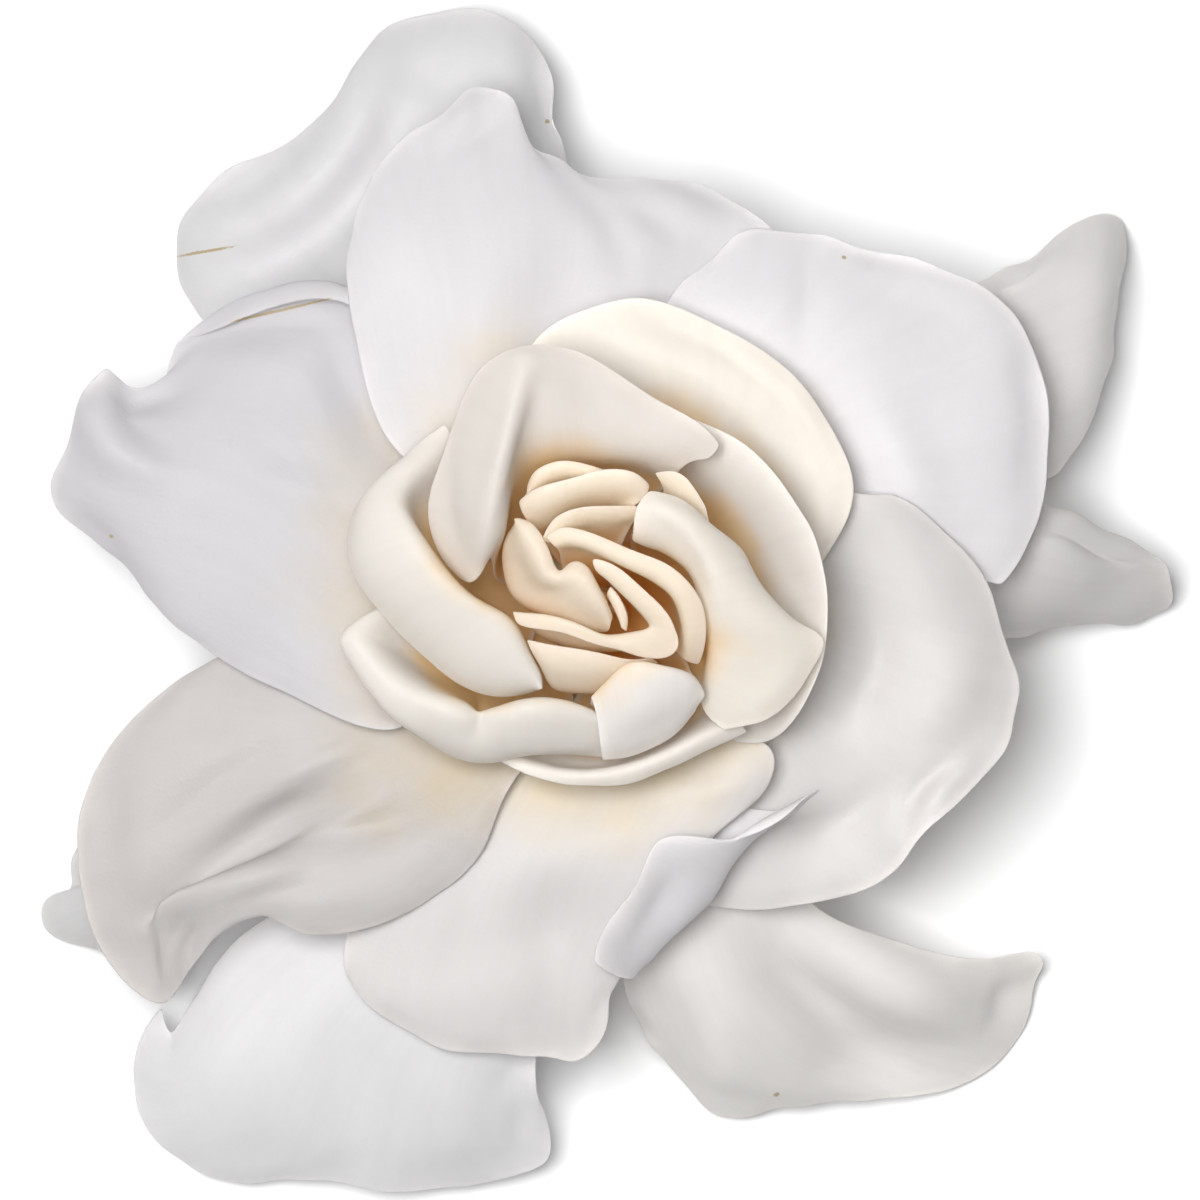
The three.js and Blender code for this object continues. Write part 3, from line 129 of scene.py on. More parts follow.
# %% The petals, in millimetres
# foot: bearing in degrees, distance from the axis, height, width, and rise along the row
# rows: points (x, y, height) round the stalk, from the foot outwards
PETALS = {
    "outer_petal_1": {"foot": (352, 6.2, 14.5, 4.8, 0.4), "rows": [
        [(12.6, -4.2, 15.9), (13.6, 0, 16.4), (12.6, 4, 16)],
        [(21, -5.2, 15.4), (22, 0.6, 16.2), (20.5, 6, 15.6)],
        [(29.5, -4, 11.8), (31, 1.5, 14), (31.5, 6, 14.4), (31, 9, 13.6)],
        [(34.5, -2.9, 7.4), (36.6, 1.2, 11.2), (37.6, 5.5, 13.3), (36.8, 8, 12.2)],
        [(39.9, -2.1, 3.8), (41.6, 0.6, 7), (42.3, 3.7, 10.1), (41, 6.2, 9.2)],
        [(43.3, -1.6, 1.8), (46, -0.9, 1.4), (47.4, -0.2, 1.6), (47.8, 0.6, 2.6), (47.6, 1.9, 4.4),
         (47.4, 3, 6), (46.2, 3.9, 6.6), (43.9, 4.8, 7.6)],
    ]},
    "outer_petal_2": {"foot": (42, 6.2, 14.5, 4.8, 0.4), "rows": [
        [(12.4, 5.2, 15.9), (11.6, 8.6, 16.5), (8.6, 10.8, 16)],
        [(21.5, 8, 15.6), (20, 13.5, 16.2), (15, 18.5, 15.6)],
        [(31, 10.2, 13.2), (31.6, 17, 13.8), (28.5, 23, 13.6), (24.5, 25, 12.8)],
        [(36.8, 9.8, 10.6), (39, 15, 9.8), (40, 21.5, 9), (39.6, 27.6, 8.6), (37.6, 28, 9.4),
         (35.4, 26.2, 10.6), (33, 24.2, 11.8)],
        [(38.4, 10.6, 9.6), (40.4, 13.6, 8), (42, 18.4, 6), (42.7, 24, 4), (43.1, 28.5, 2.6),
         (43.9, 30.8, 1.2), (43.9, 32, 0.6), (42.6, 32.4, 1), (40.1, 31.7, 2.4), (36.9, 29.7, 4.8),
         (33.4, 27.8, 7.4), (30.9, 26.3, 9.2)],
    ]},
    "outer_petal_3": {"foot": (115, 6.2, 14.5, 5, 0.4), "rows": [
        [(-1.5, 13.5, 15.7), (-6, 12.5, 16.4), (-10.5, 8.9, 15.8)],
        [(-0.5, 22, 15.8), (-7.5, 22.5, 16.2), (-15, 18.5, 15), (-18.5, 14, 14.6)],
        [(-1, 30.5, 13.8), (-8, 33.5, 14), (-16, 31.5, 11.6), (-23, 26, 9.8), (-27.5, 19, 10.2)],
        [(-2.4, 35, 11.8), (-8.5, 39, 11), (-15, 37, 8.8), (-20, 33, 7.6), (-24.5, 29.3, 6.2),
         (-29, 25.5, 5.4), (-30, 20.5, 6.2)],
        [(-2.9, 38, 10.6), (-7, 44.5, 8.2), (-13, 46, 6.2), (-18.3, 43.5, 5.9), (-21.5, 39.8, 6.6),
         (-25, 36.3, 6.8), (-28.5, 33.3, 6), (-32, 31, 4.2), (-33.3, 27.5, 2.4), (-32, 22.5, 4)],
        [(-3.3, 40, 9.6), (-3.7, 43.6, 7.6), (-5.1, 46.5, 6), (-7.9, 48.4, 4.8), (-11.5, 49.4, 3.8),
         (-15.3, 49.2, 3.2), (-18.5, 47.7, 3), (-19.8, 45.3, 3.6), (-21.5, 42.5, 4.4), (-24.4, 39.7, 4.8),
         (-27.5, 37.6, 4.4), (-30.8, 36.1, 3.4), (-33.4, 33.7, 2), (-35.4, 31.2, 1), (-35.7, 28.4, 0.6),
         (-34.9, 25.9, 1), (-33.3, 23.5, 2.4)],
    ]},
    "outer_petal_4": {"foot": (203, 6.2, 14.5, 4.8, 0.4), "rows": [
        [(-13.2, -3.8, 15.9), (-12.4, -6.8, 16.4), (-10.4, -9, 16)],
        [(-22, -7, 15.2), (-21, -12.2, 15.8), (-18, -15, 15.2)],
        [(-31.5, -12, 12), (-31.4, -17, 12.6), (-29.5, -21, 11.8)],
        [(-39, -17.5, 7.2), (-39.5, -22.5, 7.8), (-37.5, -27.5, 6.4)],
        [(-42.6, -19, 4.6), (-43.8, -20.2, 3.8), (-44.7, -22.1, 3), (-44.6, -24.2, 2.2), (-46, -24.9, 1.2),
         (-46.8, -26, 0.6), (-46.7, -27.3, 0.5), (-45.5, -28.6, 0.8), (-43.6, -29.3, 1.6), (-41, -29.9, 3)],
    ]},
    "outer_petal_5": {"foot": (253, 6.2, 14.5, 4.8, 0.4), "rows": [
        [(-8.4, -10.6, 15.9), (-4.8, -12.8, 16.4), (-1.2, -13.2, 16)],
        [(-14.5, -18.2, 15.2), (-9, -21.5, 16), (-2.5, -22, 15.6)],
        [(-24.5, -25, 12.4), (-18, -29.5, 14.2), (-10, -32, 14.2), (-3.5, -30, 13.6)],
        [(-32, -30.5, 8.6), (-28, -36, 11.6), (-19, -38.5, 12), (-10.5, -38.5, 11.6), (-5, -35.5, 11.6)],
        [(-36.2, -36, 4.4), (-33.5, -41.5, 7), (-24, -44.5, 7.4), (-13, -45, 7.2), (-5.2, -41.4, 8.6)],
        [(-36.7, -33.9, 4.4), (-38.7, -36.4, 2.2), (-39.7, -39.1, 0.9), (-39.1, -42, 0.4),
         (-37.7, -44.9, 0.3), (-35.1, -47.1, 0.5), (-31.9, -48.7, 1.2), (-28.7, -49, 2),
         (-24.9, -48.7, 2.8), (-19.3, -49.1, 3), (-14, -49.4, 2.8), (-10, -49.1, 2.6), (-6.9, -47.9, 3),
         (-4.5, -47, 3.4), (-4.2, -45.2, 4.4), (-4.9, -42.5, 6.6)],
    ]},
    "outer_petal_6": {"foot": (302, 6.2, 14.5, 4.6, 0.4), "rows": [
        [(3.2, -13.2, 15.9), (7.4, -11.8, 16.4), (10.6, -8.8, 16)],
        [(2.5, -21.5, 15.2), (9, -20.5, 16), (14.8, -17.2, 15.4)],
        [(1.8, -29, 12), (9, -29, 14.2), (14.6, -27.5, 13), (16.4, -23.8, 13.4)],
        [(3.2, -35.8, 6), (8.5, -35, 10.8), (14, -35.5, 10.6), (19.5, -33.5, 8.6), (24, -30.5, 10.4),
         (24.4, -28.4, 10)],
        [(5.8, -39.7, 3), (10.5, -39.5, 7), (16, -39, 7.2), (23, -37, 5), (29, -32.5, 7.8),
         (30.5, -29.9, 7.6)],
        [(7.4, -41.5, 1.8), (9, -43.2, 1.2), (11.9, -43.6, 1.4), (15, -42.8, 2.4), (20, -42.2, 3),
         (25, -41.7, 2.4), (29.8, -41, 1.2), (32.5, -39.5, 0.6), (34.8, -37.3, 0.4), (36.2, -34.2, 0.8),
         (36.7, -31.4, 1.6), (37.1, -30, 2.6), (36.3, -29.4, 3.4), (34.6, -30, 5)],
    ]},
    "middle_petal_1": {"foot": (46, 5.4, 16.4, 4, 0.8), "rows": [
        [(13.5, 3, 18.6), (11.5, 8.5, 19.6), (7.5, 12, 20.4), (2.5, 13.8, 21)],
        [(20.5, 4.5, 19), (18.5, 11, 20.4), (13, 17.5, 21.2), (5, 20.5, 22)],
        [(27, 3, 18.8), (27, 11, 20), (22.5, 19.5, 20.6), (14.5, 23.8, 21.4), (5, 23.4, 22)],
        [(31, 1.8, 17.8), (33, 10.5, 18.4), (30, 19.5, 18.8), (22, 25.3, 19.5), (12.5, 27, 20.5),
         (6, 25.3, 21.5)],
        [(33.5, 1.1, 16.6), (35.6, 4.8, 16.2), (36.9, 8.3, 16), (37.5, 12.5, 16), (37.4, 16.3, 15.8),
         (36.4, 20.3, 15.6), (34.5, 23.7, 15.6), (32.4, 25.8, 15.8), (29.2, 27.2, 16.4), (26, 28.5, 16.8),
         (23.3, 29.1, 17), (20.9, 29.5, 17.3), (18.8, 30.5, 17.3), (15.1, 30.8, 18), (12.7, 31, 18.4),
         (11.3, 30.4, 19), (9.7, 28.7, 19.8), (8.1, 27.3, 20.5), (6.8, 26.4, 21)],
    ]},
    "middle_petal_2": {"foot": (103, 5.4, 16.4, 4, 0.8), "rows": [
        [(4.5, 12.5, 18.6), (-1.5, 13.5, 19.6), (-7, 12, 20.4), (-11.5, 8.5, 21)],
        [(9.5, 20, 19.4), (2, 20.5, 20.6), (-6, 20.5, 21.6), (-13, 16.5, 22), (-17.4, 13, 22.2)],
        [(12.5, 25.5, 18.6), (4, 27.5, 19.6), (-5, 28, 21.2), (-14, 25.5, 22), (-20.3, 21.5, 21.8)],
        [(14, 29, 17.6), (6, 31.8, 18.2), (-3, 33, 19.8), (-11, 34.5, 20.4), (-17.5, 32.5, 20.6),
         (-21.1, 27, 20.8)],
        [(14.4, 30.8, 17), (11.3, 33.1, 16.3), (7.6, 34.9, 15.9), (4.7, 35, 16.3), (2.5, 35, 16.6),
         (-0.1, 35.1, 17.1), (-1.8, 35.7, 17.4), (-3.3, 37.1, 17.2), (-5.2, 37.7, 17.5), (-6.1, 38.9, 17.4),
         (-6.6, 41, 17.2), (-7.3, 42.1, 17.1), (-9.2, 42.7, 16.4), (-10.6, 43.1, 15.8), (-12.7, 40.8, 16.8),
         (-15.6, 39.2, 17.2), (-17.9, 37, 17.8), (-19.3, 34.8, 18.5), (-20.4, 31.6, 19.4),
         (-21.1, 28.7, 20.2)],
    ]},
    "middle_petal_3": {"foot": (165, 5.4, 16.4, 4, 0.8), "rows": [
        [(-9.6, 9.6, 18.6), (-12.6, 6, 19.6), (-13.3, 1, 20.4), (-12.5, -4, 21)],
        [(-15.5, 15.5, 19), (-19.5, 10.5, 19.8), (-20.5, 3, 20.4), (-19.5, -4, 21), (-16, -10.4, 21.8)],
        [(-21, 24.5, 20.4), (-21.2, 25.9, 20), (-21.4, 24.6, 19), (-23, 20.8, 19.2), (-25.2, 17, 19.5),
         (-26.7, 14, 19.7), (-27.8, 11, 19.8), (-28.5, 7.5, 19.9), (-28.7, 4, 20), (-28, -1, 20.2),
         (-25.2, -8.2, 20.6)],
        [(-27, 24.3, 18.8), (-27.3, 25.9, 18.3), (-27.6, 24.5, 17.3), (-30.5, 20.5, 17.4),
         (-33.8, 16.2, 17.4), (-35.2, 13.6, 18), (-36, 11.3, 18.5), (-36.3, 9, 18.6), (-36, 6.3, 18.4),
         (-34.5, 1.6, 18.2), (-31.6, -4.9, 18.4)],
        [(-31.3, 22.7, 17.4), (-31.9, 24.1, 16.9), (-32.6, 22.9, 16), (-34.9, 19.3, 15.9),
         (-38.4, 16.4, 15.7), (-40.4, 15.8, 17), (-41.7, 14.4, 17.2), (-42.2, 11.8, 16.6), (-42, 8.8, 16.6),
         (-39.8, 4.6, 16.6), (-36.6, -0.9, 16.2)],
        [(-33.6, 21.9, 16.2), (-34.7, 21.9, 15.8), (-35.7, 20.4, 15.3), (-36.4, 18.6, 14.9),
         (-39.7, 17.7, 14.5), (-40.9, 19.4, 16), (-42.7, 17.8, 15.8), (-44.5, 13, 14.4), (-46.1, 9.5, 13.8),
         (-43.6, 5.5, 14), (-40, 2.5, 14.2)],
    ]},
    "middle_petal_4": {"foot": (219, 5.4, 16.4, 3.6, 1), "rows": [
        [(-12.9, -3, 18.6), (-12.5, -8, 19.6), (-9.4, -11.3, 20.4), (-5.4, -12.9, 21.1)],
        [(-21.5, -5, 18.8), (-20, -12, 19.8), (-15.5, -15.5, 20.4), (-10.5, -17, 21.2),
         (-7.2, -14.8, 21.8)],
        [(-27, -4.6, 18), (-30, -10.5, 18.6), (-27.4, -15.6, 18.4), (-23, -18, 18), (-17, -20, 20),
         (-9.6, -20.6, 20.8)],
        [(-29, -3.8, 17.2), (-34.5, -9.5, 17), (-36.5, -14.5, 16.8), (-36, -18.5, 16.4),
         (-33.5, -21.4, 16.2), (-30, -22.6, 16.2), (-28.8, -22.5, 18.2), (-25, -22.6, 19.6),
         (-19.5, -24, 20), (-13.2, -24.3, 19.8)],
        [(-30.4, -4, 16.6), (-37.4, -10.4, 15.8), (-40.1, -16.2, 15.2), (-40.4, -21.4, 14.7),
         (-39, -25, 14), (-37, -26.5, 13.2), (-37.1, -25.8, 16.2), (-33, -24.6, 18), (-26.5, -25, 19.4),
         (-17.6, -26.7, 19.2)],
        [(-31, -4.2, 16.2), (-39.2, -11.6, 14.8), (-42, -17.6, 14), (-41.9, -24, 13), (-40, -28.6, 11.8),
         (-36.7, -30.4, 11.4), (-35.6, -28.8, 14.4), (-32.6, -26.8, 17), (-28.1, -25.8, 18.8),
         (-21.6, -27.8, 18.8)],
        [(-31.6, -4.5, 15.8), (-40.6, -12.1, 14.2), (-43.4, -19, 13.1), (-43.2, -25, 12.2),
         (-40.6, -31.1, 10.8), (-36.4, -33.8, 10.7), (-34.9, -32, 12.6), (-33, -29.3, 15.4),
         (-29.5, -26.1, 18.2), (-24.6, -27.9, 18.4)],
    ]},
    "middle_petal_5": {"foot": (267, 5.3, 16.6, 3.6, 1.2), "rows": [
        [(-8.5, -9.7, 18.2), (-3, -12.5, 19.5), (3.5, -12.8, 21), (8.5, -10.5, 21.7)],
        [(-14, -14.5, 18.6), (-7, -17, 20.2), (1, -17.5, 21.8), (8, -16, 22.5), (12.6, -13, 22.8),
         (14.5, -12.8, 22.8)],
        [(-18.5, -20.5, 17.8), (-11, -22.5, 19.2), (-3, -21.5, 21.4), (4, -19.6, 22.3), (10, -17.6, 22.7),
         (14, -15.6, 22.4)],
        [(-20.5, -26, 16.8), (-13, -29, 17.6), (-6, -28, 18.4), (1, -25, 20.2), (7, -21.6, 21.8),
         (11, -18.6, 22)],
        [(-21.2, -30.2, 15.4), (-15.5, -33.5, 16.2), (-8, -33.5, 16.6), (-2, -31, 17.2), (2.5, -27.5, 19),
         (6.5, -23.6, 20.6)],
        [(-20.5, -31.9, 14.8), (-19.5, -33.5, 14.9), (-18.1, -34.8, 14.7), (-16, -35.9, 14.5),
         (-14.1, -36.9, 14.2), (-12, -37.6, 14.2), (-9.1, -38, 14.2), (-5.9, -38.2, 14),
         (-3.2, -38.5, 13.4), (-2.3, -38.7, 13.2), (-1.1, -38.1, 13.4), (0, -36.9, 14), (0.5, -35.6, 14.6),
         (0.8, -33.7, 15.4), (1.1, -31.8, 16.2), (2.2, -29.4, 17.4)],
    ]},
    "middle_petal_6": {"foot": (346, 5.4, 16.3, 3.8, 0.8), "rows": [
        [(5, -12.2, 17.9), (10.5, -8, 19.2), (13, -2, 20.2), (11.8, 6.3, 21)],
        [(6, -19, 18.8), (12, -16, 19.4), (18.5, -10, 19.4), (20.5, -3, 19.4), (20.5, 4, 20.6),
         (17.5, 10.5, 22)],
        [(7, -22.8, 18), (14, -21, 18.4), (20.5, -17.5, 18.2), (26, -11, 19.8), (27.5, -4, 20.3),
         (26, 3, 21.5), (21, 9, 22.4)],
        [(8.5, -25.5, 17), (11.7, -25.8, 16.9), (14.1, -25.8, 16.9), (17.8, -25.1, 17), (21, -24.5, 17.4),
         (24.2, -22.9, 18.2), (25.5, -21.5, 19), (26.5, -19.9, 20), (28.7, -18, 20.2), (31.9, -14.7, 19.6),
         (34.1, -11.9, 18.4), (34.5, -9.6, 17.8), (34.9, -7.2, 17.5), (34, -4.3, 17.8), (33.2, -1.3, 18.2),
         (32.4, 1.3, 18.9), (30, 4.4, 20.1), (27.1, 7.2, 21.3), (25.5, 8.3, 21.9), (23.9, 8.8, 22.2)],
    ]},
    "middle_petal_7": {"foot": (311, 5.2, 17, 1.6, 0.2), "rows": [
        [(4.2, -13.1, 18.9), (7.2, -12.2, 19.7), (9.6, -10, 20.4)],
        [(2.5, -21.5, 17.8), (6.6, -19.8, 20), (10.6, -16.6, 21)],
        [(2.7, -31.7, 17.3), (4.7, -29.4, 18.6), (7, -26.8, 19.8), (9, -25, 20), (10.9, -21.8, 21),
         (14.1, -18.6, 22.2), (18.4, -16.3, 23)],
        [(0.6, -31.1, 19.6), (2.6, -28.4, 21.2), (5, -25.4, 22.6), (6.6, -23, 23.6), (8.6, -21, 24.2),
         (12.6, -18.8, 24.2), (18.5, -16, 23.6)],
        [(-0.4, -30.4, 20.6), (0, -28.1, 22), (2.4, -24.9, 23.8), (3.7, -22.2, 24.6), (4.6, -20.2, 24.8),
         (10.4, -19.8, 24.6), (18.2, -15.8, 24)],
    ]},
    "inner_petal_1": {"foot": (355, 4.6, 18.3, 2.6, 0.4), "rows": [
        [(8.9, -8.6, 21.6), (10.8, -2, 23), (10.5, 3, 23.6), (8.7, 7.5, 24), (5.8, 10.2, 24)],
        [(10.2, -10.6, 23.2), (15, -4.6, 25.8), (15.3, 1, 26.4), (13.2, 6, 27.2), (9.8, 9.8, 27.6),
         (6.4, 12.2, 27)],
        [(11, -11.4, 23.6), (16.9, -6.5, 27.6), (17.9, -1.5, 28.9), (17.2, 3.2, 29.4), (14.6, 8, 29.8),
         (10.6, 11.8, 29.6), (6.8, 13.8, 28.8)],
        [(11.2, -11.8, 23.6), (13.4, -11.9, 24.2), (16, -10.1, 26.4), (17.6, -7.4, 28.4),
         (18.6, -4.4, 29.4), (18.9, -1.2, 30), (18.7, 1.6, 30.2), (17.7, 5.4, 30.4), (16.4, 7.7, 30.5),
         (14.4, 10.6, 30.4), (11.6, 13.2, 30.2), (7, 15.2, 29.4)],
    ]},
    "inner_petal_2": {"foot": (53, 4.8, 17.7, 2.3, 0.6), "rows": [
        [(11.4, 0, 20.8), (11, 7, 22), (8.2, 11.3, 22.2), (2.7, 13.6, 22.2), (-2, 12.8, 22.4)],
        [(17, 2, 22.6), (16.5, 11, 23.8), (11.5, 16.2, 24.6), (5, 18.4, 25), (-2.5, 18, 25.4)],
        [(18, 2.6, 22.8), (18.2, 12.2, 24.9), (13.5, 17.6, 25.6), (6.5, 20.6, 25.4), (-0.5, 21, 25.4),
         (-4, 19.8, 25.6)],
        [(18.3, 3, 22.6), (21.1, 9.2, 24), (19.1, 14.5, 24.6), (15.6, 19.1, 24.9), (11.3, 22, 25),
         (7.5, 23.9, 25.1), (3.1, 25.1, 25.3), (-0.7, 24.3, 25.5), (-4.7, 22.3, 25.7), (-6, 20.8, 25.8)],
    ]},
    "inner_petal_3": {"foot": (113, 4.6, 18.3, 2.6, 0.4), "rows": [
        [(5.6, 9.6, 27), (4.2, 10.6, 27.6), (2, 11.2, 28), (-0.5, 11.3, 28.2), (-3, 11.1, 28.2),
         (-5, 10.2, 27.6), (-6.4, 8.2, 27), (-7.4, 6, 26.4), (-8, 3.6, 25.6), (-8.2, 1.4, 25)],
        [(6.8, 10.9, 31), (5.2, 11.6, 31.4), (2.8, 12.1, 31.6), (0.2, 12.4, 31.8), (-2.4, 12.7, 32),
         (-5, 12.2, 32), (-6.3, 10.4, 31.6), (-7.4, 7.8, 30.8), (-8.5, 4.4, 29.8), (-8.9, 2.6, 28.4)],
        [(8, 11.5, 31.8), (6.6, 12.3, 32.2), (4, 13.2, 32.6), (1, 14.1, 32.9), (-2.2, 14.9, 33.4),
         (-4.8, 15.4, 34.1), (-6.2, 13.6, 34.6), (-7.3, 10.6, 34.7), (-8.5, 6, 33.8), (-9.3, 3.2, 31.4)],
        [(9, 11.6, 32), (7.8, 13, 32.5), (4.8, 15, 32.8), (1.4, 16.6, 33), (-2.2, 18, 33.6),
         (-5.2, 18.6, 35), (-6.8, 16, 35.2), (-8, 11.8, 35.2), (-9.4, 6.4, 34.2), (-9.9, 2, 31.4)],
        [(9.5, 12, 32), (8.6, 13.6, 32.5), (5, 15.8, 33), (1.4, 17.8, 33.3), (-2.3, 19.6, 33.8),
         (-6, 20, 34.9), (-7.7, 17, 34.8), (-9, 12.4, 34.6), (-10.6, 6.4, 33.4), (-10.6, 1.4, 30.8)],
        [(10, 12.8, 31.8), (9, 14, 32.5), (5.2, 16.3, 33), (1.3, 18.8, 33.3), (-2.3, 20.7, 33.6),
         (-6.4, 21, 34), (-10.4, 18.6, 32.2), (-12.5, 13.3, 31), (-14.2, 7.4, 30.4), (-13.2, 3.6, 30),
         (-11.6, 1.7, 29.8)],
    ]},
    "inner_petal_4": {"foot": (169, 4.6, 18.3, 2.6, 0.4), "rows": [
        [(-8.2, 9.4, 22.8), (-9.3, 7.8, 23), (-10.4, 5.3, 23.1), (-10.8, 3.2, 23.1), (-10.5, 1, 23),
         (-9.6, -1, 22.9), (-8.2, -2.8, 22.8), (-7, -4.4, 22.6), (-5.8, -5.6, 22.4)],
        [(-11.5, 12.5, 25.6), (-12.9, 10.4, 26.4), (-15, 7.8, 27.4), (-14.9, 5, 28), (-13.2, 2, 28),
         (-10.6, -1, 27.8), (-7.7, -3.2, 27.6), (-6.1, -5.6, 27.2), (-4.8, -7.4, 26.6)],
        [(-12.5, 14, 27.4), (-14.1, 12.5, 28.8), (-17.1, 9, 31.2), (-15.7, 5.9, 33), (-13.3, 2.3, 33.6),
         (-10.4, -0.3, 33.6), (-7.9, -1.8, 33.3), (-6.5, -4.5, 32.7), (-4.9, -7.4, 31.4)],
        [(-12.7, 14.4, 27.3), (-14.4, 12.9, 28.5), (-18.2, 9.5, 30.5), (-18.6, 6, 31.6), (-16.8, 2, 32.2),
         (-13, -0.8, 32.8), (-9.8, -3.6, 32.6), (-7.8, -6, 31.8), (-5, -7.5, 30.8)],
        [(-12.8, 14.6, 27), (-14.6, 13.3, 28), (-18.9, 9.6, 28.2), (-21, 5.4, 27.4), (-19.9, 1.4, 27.6),
         (-17, -2.2, 28.2), (-13.2, -5.9, 28.6), (-10, -7.8, 29), (-5.8, -7.9, 29.4)],
    ]},
    "inner_petal_5": {"foot": (224, 4.6, 18.4, 2.6, 0.4), "rows": [
        [(-10, -3, 21.8), (-10.6, -4, 21.9), (-10.8, -5, 22), (-10.4, -6.2, 22.1), (-9.4, -7.4, 22.2),
         (-8, -8.4, 22.3), (-6.8, -9, 22.4), (-5.4, -9.6, 22.9), (-3.6, -10, 23.4), (-1.6, -10.2, 23.6)],
        [(-14.4, -1, 24.8), (-15.6, -2.2, 25), (-16.2, -4, 25.4), (-15.2, -5.8, 26), (-12.8, -7.4, 26.4),
         (-10.4, -8.9, 26.4), (-9, -9.9, 26.4), (-6.8, -9.8, 26.6), (-3.4, -9.8, 26.6),
         (-0.6, -10.3, 26.2)],
        [(-16.6, 0.2, 26.2), (-18.6, -0.9, 26.6), (-20.6, -2.2, 28), (-21.2, -2.9, 28.4), (-20.6, -4, 28.8),
         (-19.2, -5.8, 29.4), (-16.1, -8.1, 30.2), (-12.2, -9, 30.9), (-10.1, -9.6, 30.6),
         (-6.8, -8.9, 31.2), (-2.8, -8.7, 31.1), (0.4, -10, 29.8)],
        [(-16.9, 0.3, 26), (-18.8, -1, 26.3), (-20.8, -2.3, 27.7), (-21.5, -2.9, 28), (-20.9, -4.5, 28.3),
         (-19.6, -6.5, 28.6), (-16.9, -9, 29.4), (-13, -10.4, 29.9), (-10.3, -11.1, 29.7),
         (-6.9, -10.6, 30.4), (-3, -10.7, 29.9), (0.6, -11.5, 28.3)],
        [(-17.2, 0.3, 25.8), (-19, -1, 26), (-21, -2.4, 27.3), (-21.6, -3.1, 27.4), (-21, -4.9, 27.4),
         (-19.8, -6.9, 27.2), (-17.2, -9.5, 26.4), (-13.9, -12, 25.8), (-10.6, -13.4, 25.6),
         (-7.2, -13.1, 26.2), (-3.8, -12.8, 26.6), (0.7, -13, 26)],
    ]},
    "inner_petal_6": {"foot": (281, 4.6, 18.1, 2.4, 0.2), "rows": [
        [(-5, -10.8, 21.8), (-2.6, -11.8, 21.8), (0.5, -12, 22.2), (3.2, -11.4, 22.4), (5.6, -10.6, 22.5),
         (7.2, -9.4, 22.4), (8.1, -7.8, 23)],
        [(-8, -12.2, 23.4), (-4.6, -13.6, 24.4), (0.2, -14, 25), (3.4, -13.2, 25.6), (6.6, -11.6, 26.2),
         (9.2, -10, 26), (11, -9.2, 26)],
        [(-8.6, -12.8, 24.2), (-5, -14.2, 26.4), (0, -14.6, 27.6), (3.4, -13.8, 28), (6.4, -12.5, 28.4),
         (9, -11.2, 28.2), (11.6, -10.2, 27.4)],
        [(-9, -13, 24), (-5.4, -14.7, 26), (-0.2, -15.4, 26.8), (4.2, -14.6, 27), (7.6, -13.2, 27.3),
         (9.8, -12, 27), (12.2, -10.8, 26.7)],
    ]},
    "inner_petal_7": {"foot": (304, 3.4, 20.2, 2, 0.2), "rows": [
        [(-0.4, -7.9, 25), (1, -8, 25), (2.8, -7.6, 25), (4.6, -6.7, 25.2), (6.2, -5.7, 25.6),
         (7, -4.9, 26)],
        [(-0.8, -8.6, 29), (1, -8.6, 29.4), (3, -8, 29.8), (5, -7, 30), (6.6, -6.4, 30), (7.7, -6.2, 29.6)],
        [(-0.6, -8.2, 31.4), (0.6, -7.1, 32.6), (2.8, -5.4, 34.3), (5, -5.7, 34.1), (6.9, -6.2, 33.1),
         (8.4, -7.2, 31.4)],
        [(-0.3, -9.6, 31), (1.2, -9, 32), (3.2, -8, 33.2), (5.2, -7.8, 33), (7, -7.9, 32), (8.7, -8, 30.8)],
        [(0, -11.6, 29.5), (1.6, -11.3, 29.8), (3.4, -10.6, 30.2), (5.2, -9.9, 30.4), (6.8, -9.3, 30.4),
         (8.3, -8.5, 30)],
        [(0.2, -13.3, 26.9), (1.6, -13.2, 27), (3.2, -12.8, 27.4), (4.9, -12, 27.8), (6.6, -10.8, 28.4),
         (7.9, -9.3, 29)],
    ]},
    "inner_petal_8": {"foot": (8, 3.4, 20.2, 2.2, 0.2), "rows": [
        [(5.8, -3.6, 23), (6.1, -2.4, 23.2), (6.3, -1.2, 23.4), (6.3, 0, 23.6), (6.1, 1.4, 23.8),
         (5.6, 2.6, 24), (4.9, 3.5, 24), (3.9, 4.1, 24), (3, 4.5, 24), (2.5, 4.7, 24)],
        [(7.8, -7, 25.8), (8.8, -5.6, 27), (9, -4, 27.6), (8.9, -2, 28), (8.6, 0, 28.2), (7.9, 2.2, 28.4),
         (6.6, 3.6, 28.6), (4.9, 4.5, 28.8), (3.3, 5.1, 29), (2.6, 5.4, 29)],
        [(8.4, -8.4, 28), (9.4, -6.4, 30.4), (9.8, -4, 31.8), (9.5, -1.6, 33), (8.9, 0.6, 33.8),
         (8, 2.6, 34.2), (6.4, 4.1, 34.6), (4.6, 5, 34.8), (3.2, 5.4, 35), (2.7, 5.6, 35)],
        [(8.8, -9.4, 28.4), (10.4, -7.2, 30.6), (11, -4.4, 32), (10.7, -1.6, 33.4), (10, 0.8, 34.4),
         (8.9, 3, 35), (7.2, 4.8, 35.5), (5.2, 6, 35.8), (3.8, 6.6, 35.9), (2.8, 6.8, 35.8)],
        [(9.4, -10.1, 28.6), (11.8, -8.2, 30.4), (13.4, -5.4, 31.6), (12.6, -2, 33.6), (11, 1, 34.7),
         (9.7, 3.6, 35.4), (7.9, 5.8, 36), (5.8, 7.2, 36.2), (4.2, 7.8, 36), (3.1, 7.9, 35.8)],
